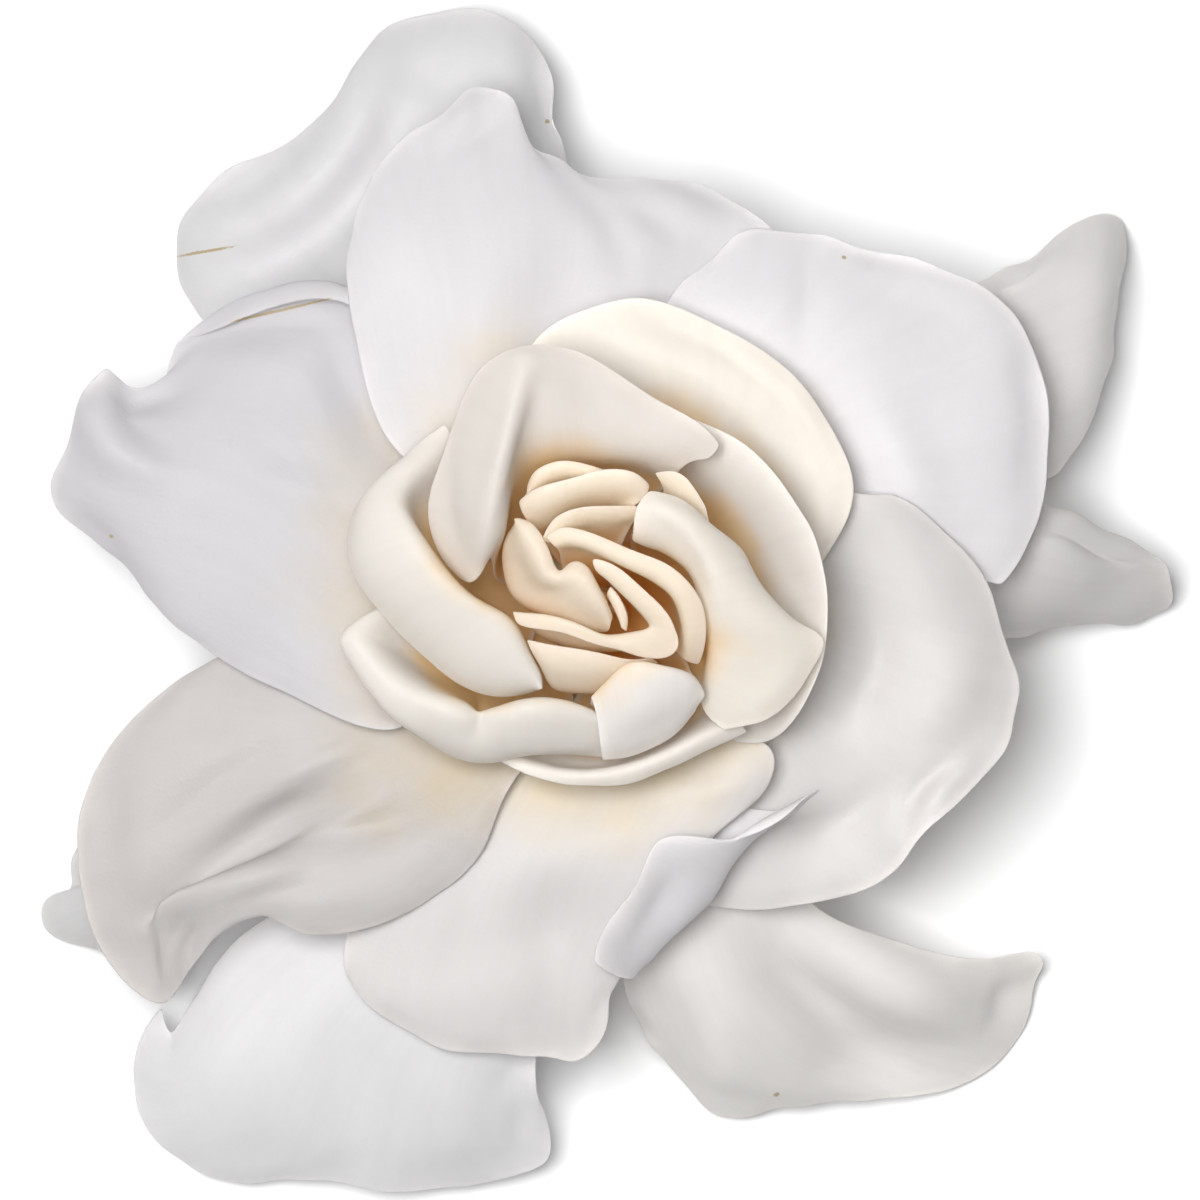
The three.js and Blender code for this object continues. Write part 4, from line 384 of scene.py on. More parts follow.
        [(9.9, -10.5, 28.8), (13.2, -9, 30.2), (15.6, -6, 31.2), (15.6, -3, 32.4), (13.4, 0, 33.4),
         (11.8, 2.8, 34), (10.4, 5, 34.6), (8.2, 6.9, 35.4), (5.6, 8.2, 35.8), (3.6, 8.5, 35.6)],
        [(10.2, -10.8, 28.7), (12, -10.4, 29.3), (13.8, -9.9, 29.6), (15.8, -8.4, 29.8), (17.6, -5.8, 30.4),
         (18.6, -3.3, 31), (17, -2, 31.7), (15, -0.3, 32.2), (13.2, 1.8, 32.6), (11.7, 4.2, 33.2),
         (10.2, 5.6, 33.8), (8.4, 7.2, 34.8), (6.2, 8.6, 35.3), (4.1, 9, 35.2)],
    ]},
    "heart_petal_1": {"foot": (108, 3.4, 20.2, 2, 0.2), "rows": [
        [(1, 7.8, 27), (-0.8, 8.1, 27), (-2.6, 8.1, 27), (-4.2, 7.5, 27), (-5.6, 6.5, 27)],
        [(1, 9.5, 31.2), (-1, 10, 31.6), (-3.4, 9.9, 31.6), (-5.2, 9.1, 31.6), (-6.4, 8.1, 31.4)],
        [(0.8, 10.3, 32.8), (-1, 10.9, 33.6), (-3.3, 11.2, 34), (-5.1, 10.4, 33.8), (-6, 9.2, 32.5)],
        [(0.9, 10.6, 32.6), (-1, 11.2, 33.5), (-3.4, 11.5, 33.9), (-5.3, 10.7, 33.6), (-6, 9.5, 32.3)],
    ]},
    "heart_petal_2": {"foot": (100, 2.4, 21.7, 1.6, 0.2), "rows": [
        [(2.2, 6.4, 28), (1.4, 6.7, 28), (0, 6.8, 28), (-1.8, 6.5, 28), (-3.4, 5.8, 28), (-4.8, 5, 28)],
        [(3, 7.9, 33), (2.2, 8.4, 33), (0.4, 8.6, 33), (-1.8, 8.2, 33), (-4, 7.2, 33), (-5.9, 6.4, 32.3)],
        [(4, 9, 33.5), (2.6, 10, 34.8), (0.4, 10.2, 35), (-2.2, 9.5, 35), (-4.9, 8.7, 34.8),
         (-6.6, 7.7, 33.1)],
        [(4.1, 9.5, 33.5), (2.7, 10.6, 34.9), (0.4, 10.8, 35.1), (-2.3, 10.1, 35.1), (-5.1, 9.3, 34.8),
         (-6.7, 8.2, 33.1)],
    ]},
    "heart_petal_3": {"foot": (68, 3.5, 20, 1.6, 0.2), "rows": [
        [(7.9, 5.2, 25.6), (7, 6.5, 25.8), (5.8, 7.2, 26.2), (4.4, 8, 26.4)],
        [(8.9, 6.9, 32.4), (7.9, 8.2, 33), (6.6, 9.2, 33.3), (4.9, 9.9, 33.3)],
        [(8.7, 7.7, 33), (7.8, 9.2, 33.7), (6.5, 10.5, 34), (4.5, 10.5, 34.3)],
    ]},
    "heart_petal_4": {"foot": (112, 1.4, 22.9, 1.1, 0), "rows": [
        [(1.6, 4.2, 29), (0.4, 4.5, 29), (-1.2, 4.4, 29), (-2.6, 4, 29), (-3.7, 3.4, 29)],
        [(2.8, 6.5, 31.6), (0.5, 6.2, 32.4), (-1.5, 6, 32.4), (-3.1, 5.5, 32.4), (-4.4, 4.7, 32.4)],
        [(3.1, 7.3, 33.6), (0.6, 7.4, 35.2), (-1.6, 7.2, 35.2), (-3.5, 6.4, 35.2), (-4.5, 4.8, 34.2)],
        [(3.1, 7.8, 33.8), (0.6, 7.8, 35.5), (-1.8, 7.6, 35.5), (-3.8, 6.7, 35.3), (-4.8, 5, 34.3)],
    ]},
    "heart_petal_5": {"foot": (22, 1.4, 22.9, 0.9, 0), "rows": [
        [(5.2, -3.6, 27.5), (5.8, -2, 27.5), (5.8, -0.6, 27.5), (5.2, 0.6, 27.5), (4, 1.6, 27.5),
         (2.4, 2.4, 27.5), (0.8, 2.5, 28.2), (-0.8, 2.5, 28.6), (-2, 2.5, 28.6), (-3, 2.2, 29)],
        [(6.4, -4.4, 30), (6.9, -2.6, 31.6), (6.6, -0.8, 32.4), (5.9, 0.7, 32.6), (4.4, 1.8, 32.8),
         (2.6, 2.8, 33), (0.5, 3.6, 33.4), (-1.4, 4.3, 33.6), (-2.7, 4.4, 33.6), (-3.4, 4, 33.4)],
        [(7, -5, 30.8), (7.4, -2.8, 33.6), (7.3, -0.8, 35), (6.5, 1, 35.9), (4.9, 2.3, 36.1),
         (2.8, 3.2, 36.3), (0.6, 4.2, 36.3), (-1.6, 5, 36.1), (-3, 5.1, 35.8), (-4, 4.6, 35.2)],
        [(8.2, -5.4, 30.4), (8.8, -2.9, 33.2), (8.5, -0.4, 34.6), (7.4, 1.4, 35.6), (5.5, 3, 36),
         (3, 4, 36.2), (0.7, 5, 36.2), (-1.8, 5.9, 36), (-3.4, 6, 35.6), (-4.6, 5.2, 35)],
    ]},
    "heart_petal_6": {"foot": (300, 1.4, 22.9, 1.3, 0), "rows": [
        [(-4.4, -2.1, 25.6), (-3.6, -2.7, 25.6), (-2.4, -3.2, 25.6), (-1, -3.5, 25.6), (0.6, -3.6, 26),
         (2, -3.5, 26.6), (3, -3.1, 27.2), (3.6, -2.4, 27.8), (3.8, -1.6, 28), (3.5, -0.7, 28),
         (2.9, 0, 28), (2.3, 0.7, 28.2), (1.6, 1.4, 28.6), (0.8, 2.1, 29)],
        [(-6.6, -1.5, 31), (-5.4, -2.2, 31), (-4, -2.7, 31), (-2.2, -3.3, 31), (-0.4, -3.7, 31),
         (1.2, -3.8, 31), (2.8, -3.6, 31.2), (4, -3.3, 31.4), (4.6, -2.6, 31.8), (4.3, -1.7, 32.2),
         (3.5, -0.6, 32.6), (2.7, 0.3, 32.9), (1.8, 1.1, 33.2), (0.6, 2, 33.5)],
        [(-7.2, -1.1, 33.1), (-6.2, -1.3, 33.6), (-4.6, -1.4, 34), (-3, -1.7, 34.2), (-1.2, -2.4, 34.2),
         (0.2, -3, 33.8), (1.4, -3, 33.8), (2.6, -2.8, 34), (3.9, -2.5, 34.4), (4.7, -2, 34.8),
         (4.2, -1.2, 35.3), (3.2, -0.1, 35.7), (1.9, 1.3, 36), (0.5, 2.5, 36), (-0.6, 2.9, 35.8)],
        [(-6.9, -2, 33), (-6, -2.3, 33.4), (-4.4, -2.5, 33.8), (-2.8, -2.8, 34), (-1.2, -3.4, 34),
         (0.4, -3.9, 33.8), (1.8, -4.2, 33.8), (3.2, -4.7, 33.8), (4.7, -4.9, 33.8), (5.9, -4.7, 33.9),
         (6.6, -3.9, 34.1), (6.4, -2.9, 34.6), (5.9, -1.6, 35.4), (4.9, -0.3, 35.9), (3.6, 0.9, 36.1),
         (2.2, 2.2, 36.2), (0.6, 3.2, 36.1), (-0.7, 3.5, 35.9)],
    ]},
    "heart_petal_7": {"foot": (330, 0.9, 25.4, 0.4, 0), "rows": [
        [(2.1, -2.1, 30.6), (2.1, -1.3, 30.6), (1.8, -0.6, 30.6), (1.4, 0.1, 30.6), (1, 0.6, 30.6)],
        [(1.95, -2.45, 33.2), (1.95, -1.4, 33.8), (1.7, -0.5, 34), (1.25, 0.3, 34), (0.75, 0.95, 34)],
        [(2.2, -2.6, 32.9), (2.3, -1.4, 33.7), (1.95, -0.4, 34), (1.45, 0.5, 34), (0.85, 1.15, 34)],
    ]},
    "heart_petal_8": {"foot": (195, 1.4, 22.9, 1.2, 0), "rows": [
        [(-6, 4.2, 26.6), (-6.2, 3.2, 26.4), (-6.1, 2.4, 26.4), (-5.9, 1.4, 26.4), (-5.5, 0.5, 26.4),
         (-4.9, -0.4, 26.4), (-4.1, -1.1, 26.4), (-3.1, -1.6, 26.4), (-2.1, -2, 26.4), (-1, -2.2, 26.4)],
        [(-6.9, 6.5, 31.4), (-7.6, 5.2, 31.4), (-7.8, 3.6, 31), (-7.6, 2, 30.6), (-7, 0.5, 30.4),
         (-5.8, -0.4, 30.6), (-4.3, -1.1, 31), (-2.8, -1.8, 31.2), (-1.2, -2.5, 31.2), (0.2, -2.7, 31)],
        [(-7, 6.7, 33.2), (-7, 5.6, 33.4), (-6.8, 4.2, 33.2), (-6.3, 2.8, 32.8), (-5.6, 1.5, 32.6),
         (-4.4, 0.8, 33), (-3, 0.3, 33.8), (-1.6, -0.4, 34.2), (-0.2, -1.3, 33.8), (0.8, -2.4, 33)],
        [(-7.1, 6.7, 34.2), (-6, 6, 35.2), (-5.1, 4.7, 35.6), (-4.4, 3.3, 35.6), (-3.6, 2.1, 35.4),
         (-2.7, 2.3, 35.8), (-1.5, 2.3, 36), (-0.5, 1.2, 35.8), (0.3, -0.2, 35.2), (0.9, -1.9, 33.9)],
        [(-6.8, 6.8, 33.8), (-5.4, 6.2, 34.9), (-4.5, 4.9, 35.2), (-3.9, 3.5, 35.2), (-3.3, 2.4, 35),
         (-2.6, 3.1, 35.2), (-1.4, 3.1, 35.4), (-0.4, 1.8, 35.1), (0.4, 0.3, 34.6), (1.1, -1.4, 33.4)],
    ]},
    "heart_petal_9": {"foot": (248, 3.4, 20.2, 2, 0.2), "rows": [
        [(-4.2, -4.9, 26), (-3.4, -5.8, 25.8), (-1.8, -6.3, 25.8), (0.4, -6.5, 25.8), (2.6, -6, 26),
         (4.2, -5, 26.4)],
        [(-4.5, -5.8, 29.4), (-4, -7, 29), (-2.2, -7.5, 29), (0.2, -7.5, 29), (2.6, -6.9, 29.4),
         (4.8, -5.5, 30)],
        [(-5.2, -4.9, 31.2), (-4.3, -6, 31.2), (-2.1, -6.5, 31.2), (0.4, -6.5, 31.2), (2.8, -6.1, 31.2),
         (4.8, -5.2, 30.8)],
        [(-5.8, -3.9, 32.5), (-4.4, -4.6, 32.8), (-2, -5, 32.9), (0.6, -5.1, 32.7), (2.8, -5.3, 32.2),
         (4.6, -5, 31.6)],
        [(-6.1, -3.2, 32.8), (-4.3, -3.6, 33.2), (-1.8, -4, 33.2), (0.6, -4.5, 33), (2.8, -4.9, 32.6),
         (4.2, -4.7, 32.2)],
    ]},
}
print(len(PETALS), "petals")

# %% [markdown]
# ## A smooth curve through a few points
#
# A petal has no corners, so its rows need a curve that passes through every point and bends evenly
# in between. A natural cubic spline does that. Its pieces are solved once from the points and then
# read at any fraction of the length.

# %% Smooth curves


def curvature(knots, points):
    """Second derivatives of a natural cubic spline through the points at the knots."""
    count = len(points)
    upper = [0.0] * count
    right = [Vector((0, 0, 0)) for _ in points]
    for i in range(1, count - 1):
        before = knots[i] - knots[i - 1]
        after = knots[i + 1] - knots[i]
        slope_before = (points[i] - points[i - 1]) / before
        slope_after = (points[i + 1] - points[i]) / after
        pivot = 2 * (before + after) - before * upper[i - 1]
        upper[i] = after / pivot
        right[i] = (6 * (slope_after - slope_before) - before * right[i - 1]) / pivot
    bend = [Vector((0, 0, 0)) for _ in points]
    for i in range(count - 2, 0, -1):
        bend[i] = right[i] - upper[i] * bend[i + 1]
    return bend


def smooth_curve(points):
    """A function from 0..1 to a point on a smooth curve through the points."""
    points = [Vector(point) for point in points]
    knots = [0.0]
    for here, there in zip(points, points[1:]):
        knots.append(knots[-1] + (there - here).length)
    knots = [knot / knots[-1] for knot in knots]
    bend = curvature(knots, points)

    def read(at):
        i = 0
        while i < len(knots) - 2 and at >= knots[i + 1]:
            i += 1
        span = knots[i + 1] - knots[i]
        a = (knots[i + 1] - at) / span
        b = (at - knots[i]) / span
        sway = (a ** 3 - a) * bend[i] + (b ** 3 - b) * bend[i + 1]
        return a * points[i] + b * points[i + 1] + sway * span * span / 6

    return read


def foot_row(foot):
    """The narrow end of a petal, an arc round the axis of the flower."""
    bearing, radius, height, width, rise = foot
    row = []
    for side in (-1, 0, 1):
        angle = math.radians(bearing) + side * width / (2 * radius)
        row.append((radius * math.cos(angle), radius * math.sin(angle), height + side * rise / 2))
    return row


def petal_surface(petal):
    """A function from across and along, each 0..1, to a point of the petal in millimetres."""
    rows = [smooth_curve(row) for row in [foot_row(petal["foot"])] + petal["rows"]]
    rays = {}

    def read(across, along):
        key = round(across, 6)
        if key not in rays:
            rays[key] = smooth_curve([row(across) for row in rows])
        return rays[key](along)

    return read


print("tip of the first petal:", petal_surface(PETALS["outer_petal_1"])(0.5, 1.0))

# %% [markdown]
# ## Waves, veins and folds
#
# A real petal is never as smooth as a loft. It has slow waves from the way it grew, a rim that
# flutters a little more than the middle, faint ribs along its veins, and a few marks of its own: a
# fold where a neighbour pressed it in the bud, a soft groove, a raised edge. Sculpting would do for
# one petal, but thirty are easier to keep in order by measure. So the marks are short lines in plan
# with a height and a width, one list for each petal.

# %% The marks of single petals
# Each mark: points in plan, height (negative is a groove), half width, all in millimetres
MARKS = {
    "outer_petal_1": [
        ([(36.3, 6), (38.5, 5.7), (40, 5), (41.5, 3.9), (43, 3.1), (45, 2.9)], -0.8, 0.7),
        ([(37.5, 7.3), (40, 6.4), (43, 5), (46, 4)], 0.6, 0.8),
        ([(38, 1), (42, -0.5), (46, -1)], 0.9, 2.2),
    ],
    "outer_petal_2": [
        ([(42, 31), (41, 27), (41.2, 21), (40.2, 16)], 1.3, 1.9),
        ([(33, 27.8), (36.5, 29.6), (40, 31.8)], -0.9, 1.1),
    ],
    "outer_petal_3": [
        ([(-33, 30), (-28.5, 31.6), (-24.2, 34.4), (-20.8, 38), (-19, 42), (-18.4, 45.5)], 1.7, 2.0),
        ([(-31, 33.6), (-27.5, 35.4), (-23.6, 38.4)], -0.7, 1.0),
        ([(-34.5, 26.5), (-31, 27)], 0.8, 1.6),
        ([(-5.6, 46), (-4.6, 42), (-4, 38.5)], -0.9, 1.4),
        ([(-16.5, 44.5), (-12.5, 43), (-9, 44)], -0.8, 1.5),
    ],
    "outer_petal_5": [
        ([(-32, -35), (-31.5, -40), (-30.5, -45.5)], 1.3, 3.0),
        ([(-22, -34), (-21.5, -40), (-21.5, -46)], -0.9, 2.4),
        ([(-14.5, -38.5), (-12.5, -43), (-11.5, -46.5)], 0.9, 2.6),
        ([(-7.6, -39.5), (-6.8, -43), (-6.6, -46)], -0.6, 1.2),
    ],
    "outer_petal_6": [
        ([(18, -28.5), (23, -31), (28, -33.5), (32, -36)], 1.7, 2.2),
        ([(13, -29), (17, -32.5), (21.5, -36.5), (26, -39.3)], -1.1, 2.0),
        ([(9.5, -33), (10.5, -37), (11.5, -41)], 1.0, 2.4),
        ([(34.2, -31.5), (33.6, -34), (33, -37)], -0.7, 1.1),
    ],
    "middle_petal_1": [
        ([(17.5, 29), (17.3, 25.5), (16.8, 21.5)], -0.45, 0.9),
        ([(35.2, 20), (36.2, 15), (35.6, 9)], -0.8, 1.5),
        ([(22.5, 17), (25.5, 11), (27, 6)], 0.8, 2.4),
        ([(29, 27), (23, 28.4), (20.4, 29)], -0.4, 0.8),
    ],
    "middle_petal_2": [
        ([(-6.7, 41.5), (-9, 39.8), (-11.8, 37.6)], -0.7, 0.6),
        ([(-8.4, 42.3), (-10.7, 40.5), (-13.4, 38.2)], 0.6, 0.9),
        ([(-9, 22), (-8, 28), (-7, 34)], 1.0, 3.6),
        ([(-4.5, 37), (-1.5, 34), (1, 31), (2, 27.5)], -0.6, 1.4),
        ([(2.6, 34.2), (6, 33.6), (9.5, 31.4)], 0.5, 1.2),
        ([(0, 33), (3.5, 32.2), (6, 30.5)], -0.4, 1.0),
    ],
    "middle_petal_3": [
        ([(-42, 17.6), (-41.7, 14.8), (-40.2, 12.4), (-37, 10.6)], 1.1, 1.3),
        ([(-39.2, 17), (-38.8, 14.8), (-36.6, 13)], -0.8, 1.1),
        ([(-22.5, 22), (-21.5, 18.5), (-19.5, 14.5)], -0.7, 1.8),
        ([(-29.5, 10.5), (-25, 9.5), (-21, 8)], -0.6, 1.8),
        ([(-43.8, 8), (-41, 4.2), (-38, 0)], -0.7, 1.4),
    ],
    "middle_petal_4": [
        ([(-35.5, -25.6), (-31, -24.2), (-27, -22.2), (-23, -19.4), (-18.5, -16.6)], 1.0, 1.3),
        ([(-34, -22.6), (-30.5, -20.6), (-26.5, -18), (-22.5, -15.6)], -0.9, 1.4),
        ([(-36, -18.5), (-32, -15), (-27, -12.2)], -0.5, 0.9),
        ([(-33.5, -20), (-30, -17.3), (-25, -14.2), (-20, -12)], 0.5, 0.9),
        ([(-36.2, -26.4), (-36, -29), (-36, -31.4)], 0.9, 0.7),
        ([(-33.8, -27.2), (-34.4, -29.6)], -0.8, 0.8),
        ([(-40.4, -14), (-41, -20), (-40, -26)], -0.7, 1.4),
    ],
    "middle_petal_5": [
        ([(-12.5, -19), (-14.5, -25), (-15, -31)], 1.0, 3.2),
        ([(-4, -22), (-4, -28), (-3, -34)], -0.9, 2.6),
        ([(-1, -36.8), (0.6, -33.5), (1.4, -31.5)], -0.5, 1.0),
        ([(5, -15.6), (9, -15.8), (12.5, -15.2)], 0.5, 1.0),
    ],
    "middle_petal_6": [
        ([(29, -14), (27, -15.2), (25.8, -17), (25.4, -19.5)], -0.9, 0.8),
        ([(30, -13.8), (28.4, -15.8), (27.3, -18)], 0.9, 0.9),
        ([(24, -15.5), (21, -18), (17, -20)], -0.9, 1.6),
        ([(31, -2), (29.8, -7), (27.5, -11)], 0.9, 2.6),
        ([(22.5, 0), (23.2, -5), (21.5, -9)], -0.8, 1.6),
    ],
    "middle_petal_7": [
        ([(2.4, -29.4), (4.4, -26.4), (6.6, -23)], 0.7, 1.0),
        ([(5.6, -27.4), (8.2, -24)], -0.4, 0.8),
    ],
    "inner_petal_3": [
        ([(-6.2, 20.2), (-7, 16), (-8.2, 11), (-9.3, 6), (-9.8, 3.6)], 0.7, 0.55),
        ([(-4.8, 18.6), (-5.6, 15), (-6.6, 11), (-7.8, 7)], -0.7, 1.1),
        ([(-12.4, 12), (-12.6, 8), (-12, 5)], -0.4, 0.8),
    ],
    "inner_petal_2": [
        ([(4, 23.4), (10, 20.8), (15, 16.8), (18.6, 11.4), (20, 7)], -0.5, 0.9),
        ([(2, 21.6), (8, 18.8), (13, 15), (16.4, 10)], 0.5, 1.1),
    ],
    "inner_petal_5": [
        ([(-10, -8.2), (-10, -9.6), (-10.1, -11)], -0.7, 0.35),
        ([(-16, -7.6), (-12.5, -9.4), (-11, -9.9)], 0.4, 0.7),
        ([(-8, -9.4), (-5, -9.2), (-2, -9.8)], 0.3, 0.8),
    ],
    "inner_petal_8": [
        ([(4, 8.5), (7, 6.4), (8.8, 4), (9.8, 1.5), (10.3, -1), (10.8, -3)], 0.6, 0.7),
        ([(13, 3), (15.5, 0), (17.5, -3)], -0.5, 1.0),
    ],
}
print("marks:", sum(len(marks) for marks in MARKS.values()))

# %% The height of the marks
# A mark fades in and out along its line like half a wave, which starts this far along
MARK_START = 0.12


def height_of_marks(name, point):
    """How far the marks of this petal lift it at a point, in millimetres."""
    lift = 0.0
    for line, height, half_width in MARKS.get(name, []):
        nearest = math.inf
        fade = 0.0
        for number, (start, end) in enumerate(zip(line, line[1:])):
            a = Vector(start)
            b = Vector(end)
            along = max(0.0, min(1.0, (Vector(point[:2]) - a).dot(b - a) / (b - a).length_squared))
            distance = (Vector(point[:2]) - a.lerp(b, along)).length
            if distance < nearest:
                nearest = distance
                fade = (number + along) / (len(line) - 1)
        strength = math.sin(math.pi * (MARK_START + (1 - 2 * MARK_START) * fade))
        lift += height * math.exp(-(nearest / half_width) ** 2) * strength
    return lift


first_mark = MARKS["outer_petal_1"][0][0][2]
print("lift on the first petal at", first_mark, "mm:", round(height_of_marks("outer_petal_1", first_mark), 2))

# %% [markdown]
# ## The waves
#
# The waves come from noise, which gives every petal its own and yet the same ones every time, because
# each petal reads it in another place. There are two: a slow one over the whole petal, and a livelier
# one near the free rim. Both grow from nothing at the foot, where the petal is held.

# %% The height of the waves
# Sizes of the two noises in millimetres, the outer share of the petal that flutters, and the share
# of its length over which the waves grow from nothing at the foot
SLOW_WAVE = 9.0
FLUTTER_WAVE = 3.2
FLUTTER_BAND = 0.25
CALM_FOOT = 1 / 3
# How far on the next petal reads the noise
NEXT_PETAL = Vector((7.3, 3.1, 1.7))


def height_of_waves(point, across, along, seed, slow, flutter):
    """Slow waves over the petal and a livelier flutter along its rim, in millimetres."""
    offset = seed * NEXT_PETAL
    middle = slow * noise.noise(Vector(point) / SLOW_WAVE + offset)
    rim = max(0.0, 1 - min(across, 1 - across, 1 - along) / FLUTTER_BAND)
    fine = flutter * rim * rim * noise.noise(Vector(point) / FLUTTER_WAVE + offset)
    return (middle + fine) * min(1.0, along / CALM_FOOT)


trial_wave = height_of_waves((0, 0, 0), across=0.5, along=0.5, seed=1, slow=0.4, flutter=0.4)
print("a wave of the first petal:", round(trial_wave, 3))

# %% [markdown]
# ## How far a point is from the rim
#
# The flesh thins towards the rim and the rim is a little paler, so every point of the sheet has to
# know its distance from it. The end of the foot counts as rim too, which nobody sees behind the other
# petals. The distance along the sheet is wanted, not straight through the air, because a rolled lip
# comes close to itself. So it is measured along the edges of the grid, always going on from the
# nearest point that is already known.

# %% Distance from the rim
# The search stops at this distance from the rim. Points beyond it keep a large value, because nothing
# depends on the rim there
RIM_SEARCH = 8 * MM
FAR_FROM_RIM = 1.0


def rim_distances(bm):
    """Distance in metres of every point from the rim, along the edges of the grid."""
    bm.verts.ensure_lookup_table()
    distance = [FAR_FROM_RIM] * len(bm.verts)
    queue = []
    for vert in bm.verts:
        if vert.is_boundary:
            distance[vert.index] = 0.0
            queue.append((0.0, vert.index))
    heapq.heapify(queue)
    while queue:
        here, index = heapq.heappop(queue)
        if here > distance[index] or here > RIM_SEARCH:
            continue
        vert = bm.verts[index]
        for edge in vert.link_edges:
            other = edge.other_vert(vert)
            there = here + edge.calc_length()
            if there < distance[other.index]:
                distance[other.index] = there
                heapq.heappush(queue, (there, other.index))
    return distance


print("distances are exact up to", RIM_SEARCH / MM, "mm from the rim")

# %% [markdown]
# ## One petal
#
# The sheet starts as a flat grid. Each of its points is sent to the same fraction of the petal's
# surface and then lifted by the waves and marks. A gardenia petal is thick and fleshy, near half a
# millimetre, and fines down to a fraction of that at its very rim, which a vertex group tells the
# Solidify modifier. The two sides of a petal have skins of their own: the sheet's first material is
# its face, and the modifier gives the other side the second one.

# %% The sheet of a petal


def petal_sheet(name, seed, steps_across, steps_along, slow, flutter):
    """The shape of a petal without thickness, with a map of the distance across and along it."""
    surface = petal_surface(PETALS[name])
    bm = bmesh.new()
    bmesh.ops.create_grid(bm, x_segments=steps_along, y_segments=steps_across, size=0.5)
    petal_map = bm.loops.layers.uv.new("petal_map")
    fractions = {vert: (vert.co.y + 0.5, vert.co.x + 0.5) for vert in bm.verts}
    for face in bm.faces:
        for loop in face.loops:
            loop[petal_map].uv = fractions[loop.vert]
    for vert, (across, along) in fractions.items():
        vert.co = surface(across, along)
    bm.normal_update()
    lifts = {}
    for vert, (across, along) in fractions.items():
        waves = height_of_waves(vert.co, across, along, seed, slow, flutter)
        lifts[vert] = vert.normal * (waves + height_of_marks(name, vert.co))
    for vert, lift in lifts.items():
        vert.co = place(vert.co + lift)
    return bm


trial = petal_sheet("outer_petal_1", seed=1, steps_across=8, steps_along=8, slow=0.0, flutter=0.0)
print("a coarse sheet of the first petal has", len(trial.faces), "faces")
trial.free()

# %% The body of a petal
PETAL_BODY = 0.42 * MM
# Share of the body that is left at the very rim, and how far in the full body begins
RIM_SHARE = 0.12
RIM_REACH = 1.6 * MM
# Painted light and shade: each petal gets one plain tint that multiplies the colour of its skin. Below
# one it darkens the petal as if it lay in shade, above one it brightens it as if it caught more light,
# and where blue is lowest it also warms it
PETAL_PAINTED_LIGHT_AND_SHADE = {
    "outer_petal_1": (0.89, 0.88, 0.87), "outer_petal_2": (1.0, 0.99, 0.98),
    "outer_petal_3": (0.94, 0.94, 0.95), "outer_petal_4": (0.86, 0.86, 0.86),
    "outer_petal_5": (1.03, 1.03, 1.04), "outer_petal_6": (1.03, 1.02, 1.0),
    "middle_petal_1": (1.06, 1.06, 1.07), "middle_petal_2": (0.97, 0.97, 0.98),
    "middle_petal_3": (0.84, 0.84, 0.86), "middle_petal_4": (0.81, 0.79, 0.77),
    "middle_petal_5": (1.0, 0.99, 0.97), "middle_petal_6": (0.97, 0.96, 0.94),
    "middle_petal_7": (0.95, 0.95, 0.96), "inner_petal_1": (0.94, 0.94, 0.95),
    "inner_petal_2": (1.05, 1.04, 1.02), "inner_petal_3": (0.93, 0.92, 0.92),
    "inner_petal_7": (1.08, 1.09, 1.12), "inner_petal_8": (1.03, 1.02, 1.0),
}
NO_PAINTED_LIGHT_AND_SHADE = (1.0, 1.0, 1.0)


def petal_object(name, seed, **shape):
    """A petal with its body, as a piece that stands for the solid of the same name."""
    bm = petal_sheet(name, seed, **shape)
    rim = rim_distances(bm)
    mesh = finished_mesh(bm, name)
    piece = add_to_scene(name + "_sheet", mesh)
    group = piece.vertex_groups.new(name="body")
    for number, distance in enumerate(rim):
        share = min(1.0, distance / RIM_REACH)
        group.add([number], RIM_SHARE + (1 - RIM_SHARE) * share, "REPLACE")
    rim_layer = mesh.attributes.new("rim_distance", "FLOAT", "POINT")
    rim_layer.data.foreach_set("value", rim)
    # Every point carries its petal's tint of painted light and shade
    painted_light_and_shade_layer = mesh.attributes.new("painted_light_and_shade", "FLOAT_VECTOR", "POINT")
    painted_light_and_shade_layer.data.foreach_set("vector", list(PETAL_PAINTED_LIGHT_AND_SHADE.get(name, NO_PAINTED_LIGHT_AND_SHADE)) * len(rim))
    body = give_body(piece, PETAL_BODY)
    body.vertex_group = group.name
    body.thickness_vertex_group = 0
    body.material_offset = 1
    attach(piece, "root")
    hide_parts(name)
    return piece


print("petals are", PETAL_BODY / MM, "mm thick, and", RIM_SHARE * PETAL_BODY / MM, "mm at the rim")

# %% [markdown]
# ## Colours and nodes
#
# Every finish in the flower is a small tree of nodes. Colours are given as a screen shows them, so they are
# written as sRGB hex values, and one function turns them to the linear light that a shader adds and
# multiplies. A second function adds a node together with its settings and links, so that each
# material below reads from top to bottom like a recipe.

# %% Material helpers


def linear(hex_colour):
    """An sRGB hex colour as linear red, green, blue and alpha."""
    values = []
    for start in (1, 3, 5):
        value = int(hex_colour[start:start + 2], 16) / 255
        values.append(value / 12.92 if value <= 0.04045 else ((value + 0.055) / 1.055) ** 2.4)
    return (*values, 1.0)


def add_node(tree, kind, settings=None, inputs=None):
    """Add one node; a value in inputs is set on its socket, and a socket in inputs is linked."""
    node = tree.nodes.new(kind)
    for key, value in (settings or {}).items():
        setattr(node, key, value)
    for key, value in (inputs or {}).items():
        if isinstance(value, bpy.types.NodeSocket):
            tree.links.new(value, node.inputs[key])
        else:
            node.inputs[key].default_value = value
    return node


def new_material(name):
    """An empty material with its output node."""
    material = bpy.data.materials.new(name)
    material.use_nodes = True
    tree = material.node_tree
    tree.nodes.clear()
    output = add_node(tree, "ShaderNodeOutputMaterial")
    return material, tree, output


print("a warm white in linear light:", [round(value, 3) for value in linear("#f4f3f1")])
